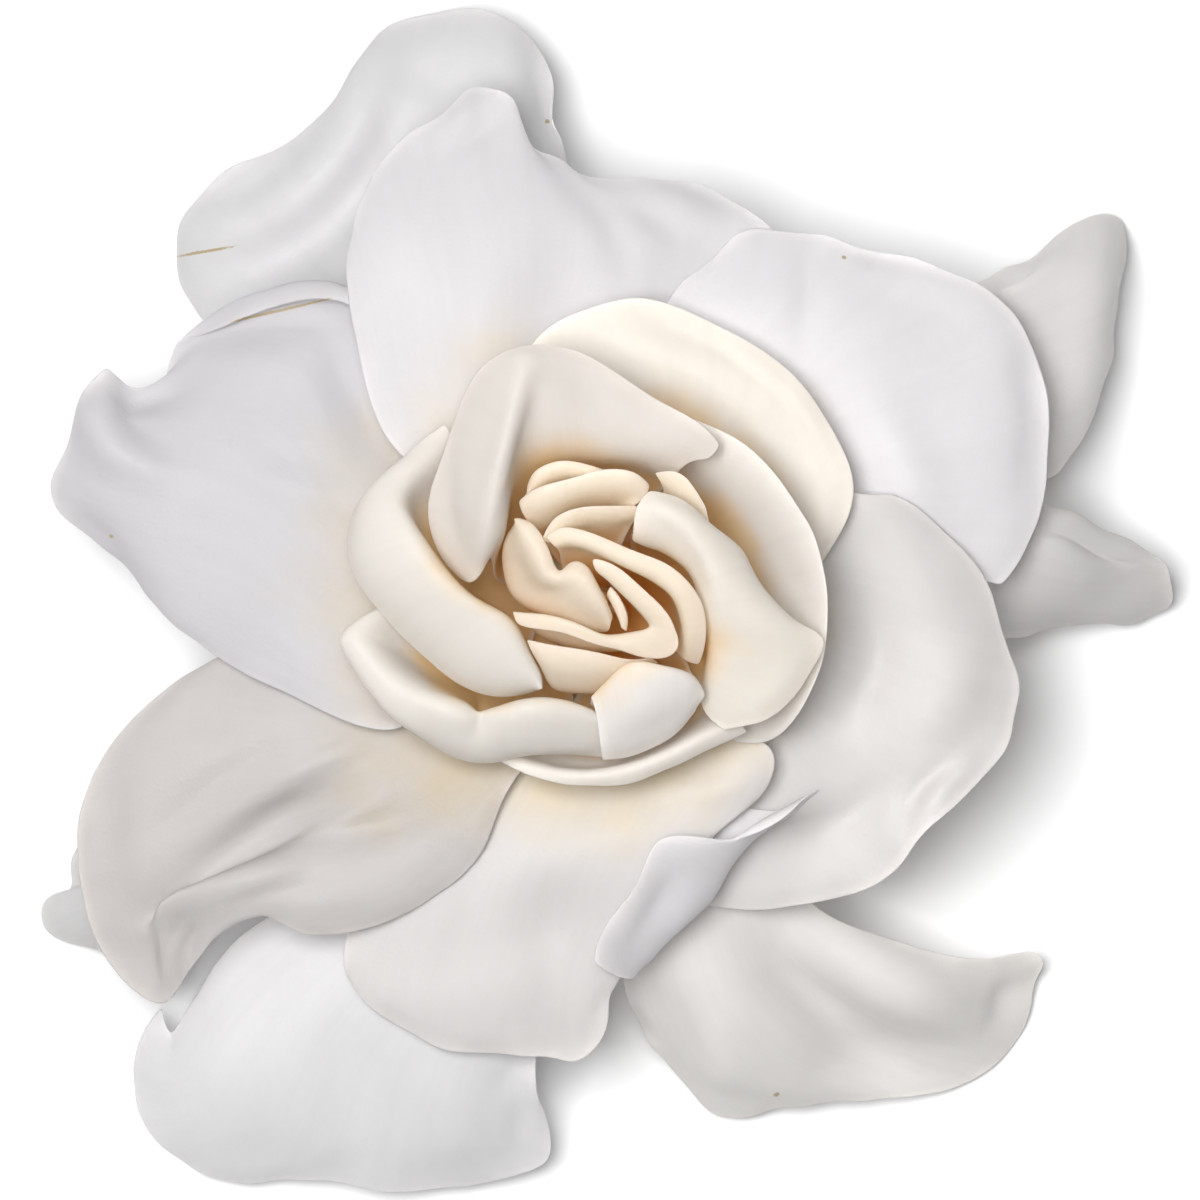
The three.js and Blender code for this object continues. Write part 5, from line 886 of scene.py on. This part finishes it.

# %% [markdown]
# ## Blemishes and a painted crease shadow
#
# No picked flower is perfect. A scratched gardenia petal turns tan within hours, and small specks of
# dead cells dry to brown. The same tan is also painted as shade: a long thin line in the crease under a
# rolled rim stands for its shadow. They could all be painted on, but a few of them are easier to place
# by measure: each one is an ellipse in plan, with its outline roughened by the fine noise of the skin.

# %% Blemishes and painted crease shade of the petals
# By skin. Each one: the middle in plan, half length and half width in millimetres, turn in degrees
BLEMISHES_AND_CREASE_SHADE = {
    "outer_petal_skin": [
        # A thin tan line along the petal
        ((-33.1, 29.2), (2.6, 0.13), 9),
        ((-4.4, 40.0), (0.22, 0.18), 0),
        ((14.8, -41.4), (0.26, 0.2), 30),
    ],
    "middle_petal_skin": [
        # Painted shadow: a thin tan line in the crease under the rolled rim of this petal
        ((-26.6, 24.1), (5.4, 0.12), 13),
        ((-22.9, 25.6), (1.0, 0.3), 5),
        ((-40.7, 5.3), (0.2, 0.17), 0),
        ((20.3, 28.5), (0.2, 0.17), 0),
    ],
}
# The outline fades between these two distances, as shares of the half size, noise included
SPOT_FADE_INSIDE = 1.1
SPOT_FADE_OUTSIDE = 1.7


def spot_mask(tree, coordinates, rough, at, half_size, turn):
    """One inside a rough ellipse that is drawn in plan, and nothing outside it."""
    centre = place((at[0], at[1], 0))
    flat = add_node(tree, "ShaderNodeMapping", {"vector_type": "TEXTURE"}, {
        "Vector": coordinates, "Location": (centre.x, centre.y, 0.0),
        "Rotation": (0.0, 0.0, math.radians(turn)),
        "Scale": (half_size[0] * MM, half_size[1] * MM, 1.0),
    })
    level = add_node(tree, "ShaderNodeVectorMath", {"operation": "MULTIPLY"}, {
        0: flat.outputs["Vector"], 1: (1.0, 1.0, 0.0),
    })
    away = add_node(tree, "ShaderNodeVectorMath", {"operation": "LENGTH"}, {0: level.outputs["Vector"]})
    ragged = add_node(tree, "ShaderNodeMath", {"operation": "ADD"}, {0: away.outputs["Value"], 1: rough})
    inside = add_node(tree, "ShaderNodeMapRange", {"interpolation_type": "SMOOTHSTEP"}, {
        "Value": ragged.outputs[0], "From Min": SPOT_FADE_INSIDE, "From Max": SPOT_FADE_OUTSIDE,
        "To Min": 1.0, "To Max": 0.0,
    })
    return inside.outputs["Result"]


print("blemishes:", sum(len(spots) for spots in BLEMISHES_AND_CREASE_SHADE.values()))

# %% [markdown]
# ## The colour of a petal
#
# Nothing in a gardenia is white pigment: its petals look white because their wet cells and air
# spaces scatter light. The foot of each petal carries some yellow, so the colour runs along the
# petal map, with an uneven border, and the rim is paler.

# %% From foot to rim
# How far the border of the warm foot wanders, as a share of the petal's length, and its pattern in mm
BORDER_WANDER = 0.3
BORDER_SIZE = 6.0
RIM_STRENGTH = 0.85


def noise_in_mm(tree, coordinates, size):
    """A soft noise with its lumps about size millimetres apart."""
    return add_node(tree, "ShaderNodeTexNoise", inputs={
        "Vector": coordinates.outputs["Object"], "Scale": 1 / (size * MM), "Detail": 2.0,
    })


def foot_to_rim(tree, coordinates, petal_map, foot, body, rim, foot_reach, rim_reach):
    """The colour that runs from a warm foot over the pale body to the rim."""
    parts = add_node(tree, "ShaderNodeSeparateXYZ", inputs={0: petal_map.outputs["UV"]})
    slow = noise_in_mm(tree, coordinates, BORDER_SIZE)
    wander = add_node(tree, "ShaderNodeMath", {"operation": "MULTIPLY_ADD"}, {
        0: slow.outputs["Fac"], 1: BORDER_WANDER, 2: -BORDER_WANDER / 2,
    })
    along = add_node(tree, "ShaderNodeMath", {"operation": "ADD"}, {
        0: parts.outputs["Y"], 1: wander.outputs[0],
    })
    warm = add_node(tree, "ShaderNodeMapRange", {"interpolation_type": "SMOOTHSTEP"}, {
        "Value": along.outputs[0], "From Min": foot_reach[0], "From Max": foot_reach[1],
    })
    pale = add_node(tree, "ShaderNodeMix", {"data_type": "RGBA"}, {
        "Factor": warm.outputs["Result"], "A": linear(foot), "B": linear(body),
    })
    distance = add_node(tree, "ShaderNodeAttribute", {"attribute_name": "rim_distance"})
    edge = add_node(tree, "ShaderNodeMapRange", {"interpolation_type": "SMOOTHSTEP"}, {
        "Value": distance.outputs["Fac"], "From Min": 0.0, "From Max": rim_reach * MM,
        "To Min": RIM_STRENGTH, "To Max": 0.0,
    })
    edged = add_node(tree, "ShaderNodeMix", {"data_type": "RGBA"}, {
        "Factor": edge.outputs["Result"], "A": pale.outputs["Result"], "B": linear(rim),
    })
    return edged.outputs["Result"]


print("the border of the foot wanders in lumps of", BORDER_SIZE, "mm")

# %% [markdown]
# ## Veins, painted light and shade, and blemishes
#
# Veins run from foot to rim, as a noise that is stretched along the petal map, and leave a trace of
# colour. Over them comes each petal's one plain tint of painted light and shade, and the blemishes and
# the painted crease shadow come last.

# %% Petal colour
# Veins across the petal, and how many times their pattern changes on the way along it
VEIN_COUNTS = (30.0, 2.2, 1.0)
VEIN_DARKEST = 0.975
# Tan of scratches and specks, also painted as the shadow in the crease under a rolled rim
BRUISE_AND_CREASE_SHADE = "#c4b08f"
# Cells are a few hundredths of a millimetre. They are drawn at a third of one, so that they show
CELL_SIZE = 0.33


def petal_colour(tree, coordinates, petal_map, veins, cells, spots, **run):
    """The run from foot to rim, then the veins, the petal's painted light and shade, and its blemishes and
    painted crease shadow.
    """
    vein_tone = add_node(tree, "ShaderNodeMapRange", inputs={
        "Value": veins.outputs["Fac"], "From Min": 0.3, "From Max": 0.7,
        "To Min": VEIN_DARKEST, "To Max": 1.0,
    })
    # The tint of painted light and shade that every point of the petal carries
    painted_light_and_shade = add_node(tree, "ShaderNodeAttribute", {"attribute_name": "painted_light_and_shade"})
    colour = foot_to_rim(tree, coordinates, petal_map, **run)
    for factor in (vein_tone.outputs["Result"], painted_light_and_shade.outputs["Vector"]):
        toned = add_node(tree, "ShaderNodeMix", {"data_type": "RGBA", "blend_type": "MULTIPLY"}, {
            "Factor": 1.0, "A": colour, "B": factor,
        })
        colour = toned.outputs["Result"]
    # Blemishes, and the painted shadow line of a crease
    for at, half_size, turn in spots:
        spot = spot_mask(tree, coordinates.outputs["Object"], cells.outputs["Fac"], at, half_size, turn)
        marked = add_node(tree, "ShaderNodeMix", {"data_type": "RGBA"}, {
            "Factor": spot, "A": colour, "B": linear(BRUISE_AND_CREASE_SHADE),
        })
        colour = marked.outputs["Result"]
    return colour


print("cells drawn at", CELL_SIZE, "mm")

# %% [markdown]
# ## Petal flesh
#
# Light soaks into a petal and comes out softly a little way off, so all of its own colour is
# subsurface light. Of the methods for that, Burley's suits a thin sheet: a random walk follows the
# light right through it and loses it at the rims, which draws a dark line round every petal. What
# really goes through is added by a translucent shader instead, with the share of light that thin
# flesh lets pass. The skin over it is waxy, with the veins as low ribs and the cells as a fine grain.

# %% Petal material


def petal_material(name, grain, through, **colours):
    """Waxy skin over wet flesh; grain is the strength of the cells, through the share let through."""
    material, tree, output = new_material(name)
    coordinates = add_node(tree, "ShaderNodeTexCoord")
    petal_map = add_node(tree, "ShaderNodeUVMap", {"uv_map": "petal_map"})
    stretch = add_node(tree, "ShaderNodeMapping", inputs={
        "Vector": petal_map.outputs["UV"], "Scale": VEIN_COUNTS,
    })
    veins = add_node(tree, "ShaderNodeTexNoise", inputs={
        "Vector": stretch.outputs["Vector"], "Scale": 1.0, "Detail": 3.0, "Distortion": 0.3,
    })
    cells = noise_in_mm(tree, coordinates, CELL_SIZE)
    spots = BLEMISHES_AND_CREASE_SHADE.get(name, [])
    colour = petal_colour(tree, coordinates, petal_map, veins, cells, spots, **colours)
    ribs = add_node(tree, "ShaderNodeBump", inputs={
        "Height": veins.outputs["Fac"], "Strength": 0.22, "Distance": 0.12 * MM,
    })
    skin_bump = add_node(tree, "ShaderNodeBump", inputs={
        "Height": cells.outputs["Fac"], "Strength": grain, "Distance": 0.05 * MM,
        "Normal": ribs.outputs["Normal"],
    })
    gloss = add_node(tree, "ShaderNodeMapRange", inputs={
        "Value": cells.outputs["Fac"], "To Min": 0.4, "To Max": 0.62,
    })
    skin = add_node(tree, "ShaderNodeBsdfPrincipled", {"subsurface_method": "BURLEY"}, {
        "Base Color": colour,
        "Roughness": gloss.outputs["Result"],
        "Normal": skin_bump.outputs["Normal"],
        "IOR": 1.42,
        "Subsurface Weight": 1.0,
        "Subsurface Radius": (1.0, 0.93, 0.82),
        "Subsurface Scale": 0.45 * MM,
    })
    from_behind = add_node(tree, "ShaderNodeBsdfTranslucent", inputs={
        "Color": colour, "Normal": skin_bump.outputs["Normal"],
    })
    flesh = add_node(tree, "ShaderNodeMixShader", inputs={
        0: through, 1: skin.outputs["BSDF"], 2: from_behind.outputs["BSDF"],
    })
    tree.links.new(flesh.outputs["Shader"], output.inputs["Surface"])
    return material


print("blemished skins:", list(BLEMISHES_AND_CREASE_SHADE))

# %% The skins of the petals
# The face of a petal looks to the heart and is creamier than its back. Each skin: colour of the
# foot, the body and the rim, where along the petal the foot's colour begins to fade and is gone,
# reach of the rim in millimetres, strength of the grain, share of light let through
PETAL_SKINS = {
    "outer_petal_skin": ("#ebe2cb", "#ecebeb", "#ebe9e9", (0.0, 0.35), 0.7, 0.6, 0.3),
    "middle_petal_skin": ("#f1e0bd", "#ebe9ea", "#ebe9e9", (0.12, 0.58), 0.7, 0.6, 0.3),
    "inner_petal_skin": ("#fbdba6", "#f4f0ea", "#f3f0ec", (0.5, 0.74), 0.8, 0.4, 0.35),
    "heart_petal_skin": ("#fed48b", "#fef6e8", "#fbf4ec", (0.28, 0.92), 0.9, 0.3, 0.45),
    "outer_petal_back": ("#dfe0c4", "#e8e7e8", "#ebe9e9", (0.0, 0.5), 0.7, 0.6, 0.3),
    "middle_petal_back": ("#eae3c6", "#eae8e9", "#ebe9e9", (0.0, 0.4), 0.7, 0.6, 0.3),
    "inner_petal_back": ("#f9dfb0", "#f0eeec", "#f1efee", (0.0, 0.5), 0.8, 0.4, 0.35),
    "heart_petal_back": ("#fed78f", "#fdf5e7", "#fbf4ec", (0.1, 0.78), 0.9, 0.3, 0.45),
}
skins = {}
for name, (foot, body, rim, foot_reach, rim_reach, grain, through) in PETAL_SKINS.items():
    skins[name] = petal_material(
        name, grain, through, foot=foot, body=body, rim=rim, foot_reach=foot_reach, rim_reach=rim_reach)
print("petal skins:", list(skins))

# %% [markdown]
# ## All the petals
#
# The four groups differ in their skins, in how fine their grid is and in how much they wave. The
# heart is small and tight, so its petals need fewer steps and hardly flutter at all.

# %% Build the petals
# slow and flutter: height of the slow waves and of the livelier ones near the rim, in millimetres
GROUPS = {
    "outer": {"steps_across": 44, "steps_along": 40, "slow": 0.8, "flutter": 0.6},
    "middle": {"steps_across": 44, "steps_along": 40, "slow": 0.7, "flutter": 0.5},
    "inner": {"steps_across": 40, "steps_along": 34, "slow": 0.2, "flutter": 0.2},
    "heart": {"steps_across": 28, "steps_along": 28, "slow": 0.06, "flutter": 0.05},
}
for number, name in enumerate(PETALS):
    kind = name.split("_")[0]
    sheet = petal_object(name, number + 1, **GROUPS[kind])
    sheet.data.materials.append(skins[kind + "_petal_skin"])
    sheet.data.materials.append(skins[kind + "_petal_back"])
print("petals made:", len(PETALS))

# %% [markdown]
# ## The tube and the hub
#
# Below the petals the flower is a tube, pale green where it comes out of the calyx and cream where
# the petals part. In a double flower the extra petals stand in whorls, one step above the other, on
# the widened mouth of the tube. The piece is turned from one half profile, as on a lathe. The tube is
# pleated lengthways, because it was twisted shut in the bud, so small folds run round it.

# %% Turned pieces
# Each straight part of a profile is cut into this many, so that ridges can bend it
PROFILE_STEPS = 4
# Points closer than this are one: the poles on the axis, and the seam where the turn closes
WELD = 0.002 * MM


def turned_piece(name, profile, steps_around, shape):
    """A half profile of (radius, height) in mm, turned round the stalk and bent a little by shape."""
    outline = []
    for (radius, height), (next_radius, next_height) in zip(profile, profile[1:]):
        for step in range(PROFILE_STEPS):
            t = step / PROFILE_STEPS
            outline.append((radius + (next_radius - radius) * t, height + (next_height - height) * t))
    outline.append(profile[-1])
    bm = bmesh.new()
    bmesh.ops.create_grid(bm, x_segments=len(outline) - 1, y_segments=steps_around, size=0.5)
    turned_map = bm.loops.layers.uv.new("turned_map")
    for face in bm.faces:
        for loop in face.loops:
            loop[turned_map].uv = (loop.vert.co.y + 0.5, loop.vert.co.x + 0.5)
    for vert in bm.verts:
        angle = -(vert.co.y + 0.5) * math.tau
        radius, height = outline[round((vert.co.x + 0.5) * (len(outline) - 1))]
        radius, height = shape(angle, radius, height)
        vert.co = place((radius * math.cos(angle), radius * math.sin(angle), height))
    bmesh.ops.remove_doubles(bm, verts=bm.verts, dist=WELD)
    bmesh.ops.recalc_face_normals(bm, faces=bm.faces)
    piece = add_to_scene(name + "_body", finished_mesh(bm, name))
    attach(piece, "root")
    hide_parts(name)
    return piece


print("each straight part of a profile gets", PROFILE_STEPS, "steps")

# %% Tube and hub
TUBE_PROFILE = [
    (0.0, 5.5), (2.6, 5.5), (2.75, 5.7), (2.72, 7.6), (2.7, 9.6), (2.95, 11.2), (3.45, 12.3),
    (4.1, 13.1), (5.1, 13.8), (5.7, 14.3), (5.74, 14.9), (5.5, 15.3), (4.98, 15.8), (4.86, 16.7),
    (4.5, 17.2), (4.08, 17.5), (3.96, 18.6), (3.5, 19.1), (2.9, 19.5), (2.78, 20.5), (2.4, 20.9),
    (1.86, 21.3), (1.76, 21.95), (1.3, 22.2), (0.86, 22.5), (0.74, 23.0), (0.4, 23.15), (0.0, 23.2),
]
PLEAT_DEPTH = 0.1
PLEAT_COUNT = 12
# Turn of the pleats in radians for each millimetre of height; they are deepest half way up the tube
PLEAT_TWIST = 0.35
PLEAT_MIDDLE = 9.5
PLEAT_REACH = 4.5


def wave(angle):
    """A smooth wave between nothing and one."""
    return 0.5 + 0.5 * math.cos(angle)


def pleats(angle, radius, height):
    """Fine twisted pleats on the tube, fading where it widens."""
    depth = PLEAT_DEPTH * max(0.0, 1 - abs(height - PLEAT_MIDDLE) / PLEAT_REACH)
    return max(0.0, radius - depth * wave(PLEAT_COUNT * angle + PLEAT_TWIST * height)), height


tube = turned_piece("corolla_tube", TUBE_PROFILE, steps_around=144, shape=pleats)
print("tube faces:", len(tube.data.polygons))

# %% [markdown]
# ## The calyx
#
# The calyx is the green cup that held the bud. It is tough and leathery, with a ridge that runs from
# the stalk up the back of every sepal. The cup is turned and then pushed out along its six ridges.

# %% Calyx cup
CUP_PROFILE = [
    (0.0, 3.5), (2.3, 3.5), (2.55, 3.65), (3.0, 4.4), (3.4, 5.25), (3.62, 6.2), (3.85, 7.4),
    (4.0, 8.4), (4.08, 9.2), (3.98, 9.4), (3.25, 9.4), (3.12, 9.25), (3.1, 7.3), (3.1, 5.3),
    (3.0, 5.2), (0.0, 5.2),
]
SEPALS = 6
RIDGE_HEIGHT = 0.36
# The inside of the cup is plain, and so is its bottom out to this radius
CUP_INSIDE = 3.2
CUP_FLOOR = 5.1
PLAIN_BOTTOM = 2.2


def ridges(angle, radius, height):
    """A ridge for each sepal down the outside of the cup, sharper than the hollows between."""
    if radius < CUP_INSIDE and height > CUP_FLOOR:
        return radius, height
    grown = min(1.0, max(0.0, radius - PLAIN_BOTTOM))
    return radius + RIDGE_HEIGHT * wave(SEPALS * angle) ** 2 * grown, height


cup = turned_piece("calyx", CUP_PROFILE, steps_around=144, shape=ridges)
print("cup faces:", len(cup.data.polygons))

# %% [markdown]
# ## The sepals
#
# The sepals are narrow blades with a keel, and no two are quite the same length. They could grow out
# of the cup by extruding its rim, but a flat grid that is bent along a line is easier to shape, and
# each blade starts well inside the cup's wall so that the two read as one.

# %% Sepals
# Middle line of a sepal as (radius, height), and how much of it each sepal takes
SEPAL_LINE = [(3.5, 8.2), (4.8, 9.8), (6.6, 11.0), (9.0, 11.6), (11.6, 11.2), (13.8, 10.0)]
SEPAL_LENGTHS = [1, 0.88, 0.95, 0.82, 1, 0.9]
SEPAL_BODY = 0.5 * MM
SEPAL_HALF_WIDTH = 0.95
# Share of the width that is left at the tip, how far the sides curl up, and the keel under the middle
SEPAL_TIP = 0.16
SEPAL_CURL = 0.3
KEEL_DEPTH = 0.18
KEEL_WIDTH = 0.22
# How blunt the taper is, and how far a blade sways to the side and through what angle, in radians
TAPER_POWER = 0.8
SEPAL_SWAY = 0.12
SWAY_ANGLE = 5
# Share of the line that is looked at ahead and behind for its direction
LOOK = 0.02

bm = bmesh.new()
sepal_map = bm.loops.layers.uv.new("turned_map")
line = smooth_curve([(radius, 0, height) for radius, height in SEPAL_LINE])
for number, length in enumerate(SEPAL_LENGTHS):
    bearing = math.tau * number / SEPALS
    blade = bmesh.ops.create_grid(bm, x_segments=36, y_segments=12, size=0.5)
    for face in {face for vert in blade["verts"] for face in vert.link_faces}:
        for loop in face.loops:
            loop[sepal_map].uv = (loop.vert.co.y + 0.5, 0.5 + 0.5 * (loop.vert.co.x + 0.5))
    for vert in blade["verts"]:
        along = vert.co.x + 0.5
        side = 2 * vert.co.y
        at = line(along * length)
        ahead = line(min(along + LOOK, 1) * length) - line(max(along - LOOK, 0) * length)
        up = Vector((-ahead.z, 0, ahead.x)).normalized()
        taper = math.cos(along * math.pi / 2) ** TAPER_POWER
        half = SEPAL_HALF_WIDTH * (SEPAL_TIP + (1 - SEPAL_TIP) * taper)
        curl = SEPAL_CURL * side * side - KEEL_DEPTH * math.exp(-(side / KEEL_WIDTH) ** 2)
        sway = SEPAL_SWAY * math.sin(SWAY_ANGLE * along + number) * along
        point = at + up * curl + Vector((0, side * half + sway, 0))
        x = point.x * math.cos(bearing) - point.y * math.sin(bearing)
        y = point.x * math.sin(bearing) + point.y * math.cos(bearing)
        vert.co = place((x, y, point.z))
bmesh.ops.recalc_face_normals(bm, faces=bm.faces)
sepals = add_to_scene("calyx_sepals", finished_mesh(bm, "sepals"))
give_body(sepals, SEPAL_BODY)
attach(sepals, "root")
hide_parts("calyx")
print("sepals:", len(SEPAL_LENGTHS))

# %% [markdown]
# ## The stalk
#
# The flower was cut with scissors just below the calyx, so the stub is short and its end shows the
# cut: a green skin, a paler ring of wood with fine rays and a pith in the middle. The stub swells
# into the calyx and has shallow ridges of its own.

# %% Stalk stub
STALK_PROFILE = [
    (0.0, 0.0), (0.75, 0.03), (1.1, 0.0), (1.58, 0.0), (1.68, 0.06), (1.7, 0.25), (1.7, 1.0),
    (1.75, 1.7), (1.86, 2.4), (2.04, 3.0), (2.04, 3.14), (1.95, 3.2), (0.0, 3.2),
]
# Its flat ends are plain out to this radius
FLAT_END = 1.5
BARK_DEPTH = 0.05
BARK_RIDGES = 9


def bark(angle, radius, height):
    """Shallow ridges that wind along the stub."""
    if radius < FLAT_END:
        return radius, height
    return radius - BARK_DEPTH * wave(BARK_RIDGES * angle + height), height


stub = turned_piece("pedicel", STALK_PROFILE, steps_around=108, shape=bark)
print("stub faces:", len(stub.data.polygons))

# %% [markdown]
# ## Green parts
#
# Chlorophyll sits below a waxy skin, so the calyx is a deep matt green with paler ridges, the tube
# fades from green to cream as it rises, and the cut end of the stalk is a ring of pale wood round
# its pith. Each shader reads the turned map, which runs once round the piece and once along it.

# %% Green materials
# Mottling of the skin in millimetres, and streaks round and along a piece
MOTTLE_SIZE = 0.9
STREAK_COUNTS = (90.0, 4.0, 1.0)


def green_material(name, stops, spot_hex, roughness):
    """Leaf or stalk tissue: colours along the turned map, mottled and finely streaked."""
    material, tree, output = new_material(name)
    turned_map = add_node(tree, "ShaderNodeUVMap", {"uv_map": "turned_map"})
    parts = add_node(tree, "ShaderNodeSeparateXYZ", inputs={0: turned_map.outputs["UV"]})
    coordinates = add_node(tree, "ShaderNodeTexCoord")
    ramp = add_node(tree, "ShaderNodeValToRGB", inputs={0: parts.outputs["Y"]})
    elements = ramp.color_ramp.elements
    elements[0].position, elements[0].color = stops[0][0], linear(stops[0][1])
    elements[1].position, elements[1].color = stops[-1][0], linear(stops[-1][1])
    for position, colour in stops[1:-1]:
        elements.new(position).color = linear(colour)
    mottle = add_node(tree, "ShaderNodeTexNoise", inputs={
        "Vector": coordinates.outputs["Object"], "Scale": 1 / (MOTTLE_SIZE * MM), "Detail": 5.0,
    })
    share = add_node(tree, "ShaderNodeMapRange", inputs={
        "Value": mottle.outputs["Fac"], "From Min": 0.45, "From Max": 0.75, "To Max": 0.5,
    })
    skin_colour = add_node(tree, "ShaderNodeMix", {"data_type": "RGBA"}, {
        "Factor": share.outputs["Result"], "A": ramp.outputs["Color"], "B": linear(spot_hex),
    })
    stretch = add_node(tree, "ShaderNodeMapping", inputs={
        "Vector": turned_map.outputs["UV"], "Scale": STREAK_COUNTS,
    })
    streaks = add_node(tree, "ShaderNodeTexNoise", inputs={
        "Vector": stretch.outputs["Vector"], "Scale": 1.0, "Detail": 3.0,
    })
    bump = add_node(tree, "ShaderNodeBump", inputs={
        "Height": streaks.outputs["Fac"], "Strength": 0.4, "Distance": 0.1 * MM,
    })
    skin = add_node(tree, "ShaderNodeBsdfPrincipled", inputs={
        "Base Color": skin_colour.outputs["Result"],
        "Roughness": roughness,
        "Normal": bump.outputs["Normal"],
        "Subsurface Weight": 0.2,
        "Subsurface Radius": (0.6, 0.8, 0.3),
        "Subsurface Scale": 0.5 * MM,
    })
    tree.links.new(skin.outputs["BSDF"], output.inputs["Surface"])
    return material


print("mottled at", MOTTLE_SIZE, "mm")

# %% The skins of the green parts
# The tube goes from pale green in the calyx to the cream of the hub
tube_skin = green_material("tube_skin", [
    (0.0, "#b9c58c"), (0.1, "#cdd6a6"), (0.22, "#e6e6c6"), (0.4, "#f3e2ba"), (1.0, "#e6b96e"),
], spot_hex="#f2e4bf", roughness=0.5)
# The cup is deep green, lighter towards its rim
calyx_skin = green_material("calyx_skin", [
    (0.0, "#7c8f4a"), (0.25, "#5f8240"), (0.6, "#6f9148"), (1.0, "#8aa35c"),
], spot_hex="#8fa25d", roughness=0.45)
# The stub shows pith, wood and bast on its cut end, then olive skin
stalk_skin = green_material("stalk_skin", [
    (0.0, "#dfe0b4"), (0.1, "#d3d6a2"), (0.17, "#c6c58e"), (0.27, "#8f9a58"), (0.34, "#6f7f3f"),
    (1.0, "#768a45"),
], spot_hex="#9a9a60", roughness=0.6)
tube.data.materials.append(tube_skin)
cup.data.materials.append(calyx_skin)
sepals.data.materials.append(calyx_skin)
stub.data.materials.append(stalk_skin)
print("green materials:", tube_skin.name, calyx_skin.name, stalk_skin.name)

# %% [markdown]
# ## The table
#
# The flower lies on a plain white sheet, wide enough that its far edge never shows. A curved
# backdrop would do as well, but the flower is seen from above, where a flat floor looks the same.

# %% Studio floor
FLOOR_HALF_SIDE = 3.0

bm = bmesh.new()
bmesh.ops.create_grid(bm, x_segments=1, y_segments=1, size=FLOOR_HALF_SIDE)
floor = add_to_scene("floor", finished_mesh(bm, "floor"))
paper, tree, output = new_material("white_paper")
surface = add_node(tree, "ShaderNodeBsdfPrincipled", inputs={
    "Base Color": linear("#fafafa"), "Roughness": 0.9,
})
tree.links.new(surface.outputs["BSDF"], output.inputs["Surface"])
floor.data.materials.append(paper)
print("the floor is", 2 * FLOOR_HALF_SIDE, "m wide")

# %% [markdown]
# ## The light
#
# White petals on white paper are drawn by soft shade alone. One large soft box hangs almost straight
# above, a little to the left, so each fold has a lighter and a darker side and the petals shade the
# ones under them. A dim white world stands for the walls of the room. Light goes many times to and
# fro between the petals before it finds the way out, and the depth of the heart glows only if the
# renderer follows it, so the number of diffuse bounces is raised.

# %% Studio light
KEY_PLACE = Vector((-0.19, 0.07, 1.0))
KEY_SIDE = 0.5
KEY_WATTS = 11.0
ROOM_STRENGTH = 0.25

world = bpy.data.worlds.new("studio")
world.use_nodes = True
room = world.node_tree.nodes["Background"]
room.inputs["Color"].default_value = linear("#ffffff")
room.inputs["Strength"].default_value = ROOM_STRENGTH
bpy.context.scene.world = world

box = bpy.data.lights.new("key", "AREA")
box.shape = "SQUARE"
box.size = KEY_SIDE
box.energy = KEY_WATTS
key = add_to_scene("key", box)
key.location = KEY_PLACE
# A light shines down its own Z axis, so that axis points away from the flower
key.rotation_euler = KEY_PLACE.to_track_quat("Z", "Y").to_euler()
bpy.context.scene.view_settings.view_transform = "Standard"
bpy.context.scene.cycles.diffuse_bounces = 7
bpy.context.scene.cycles.max_bounces = 9
print("key light:", KEY_WATTS, "W,", round(KEY_PLACE.length, 2), "m away")

# %% [markdown]
# ## The camera
#
# It looks straight down the stalk from two metres, with a long lens, so that the petals near the
# lens are hardly larger than the ones on the table. The lens is worked out from the width that the
# picture takes in.

# %% Camera
FRAME_WIDTH = 100 * MM
CAMERA_DISTANCE = 2.0
# Height of the flower at which the picture is FRAME_WIDTH wide
FLOWER_PLANE = 15 * MM

camera_data = bpy.data.cameras.new("camera")
camera_data.sensor_width = 36
camera_data.lens = camera_data.sensor_width * CAMERA_DISTANCE / FRAME_WIDTH
camera_data.clip_end = 10
camera = add_to_scene("camera", camera_data)
camera.location = AXIS + Vector((0, 0, FLOWER_PLANE + CAMERA_DISTANCE))
bpy.context.scene.camera = camera
print("lens:", round(camera_data.lens), "mm")
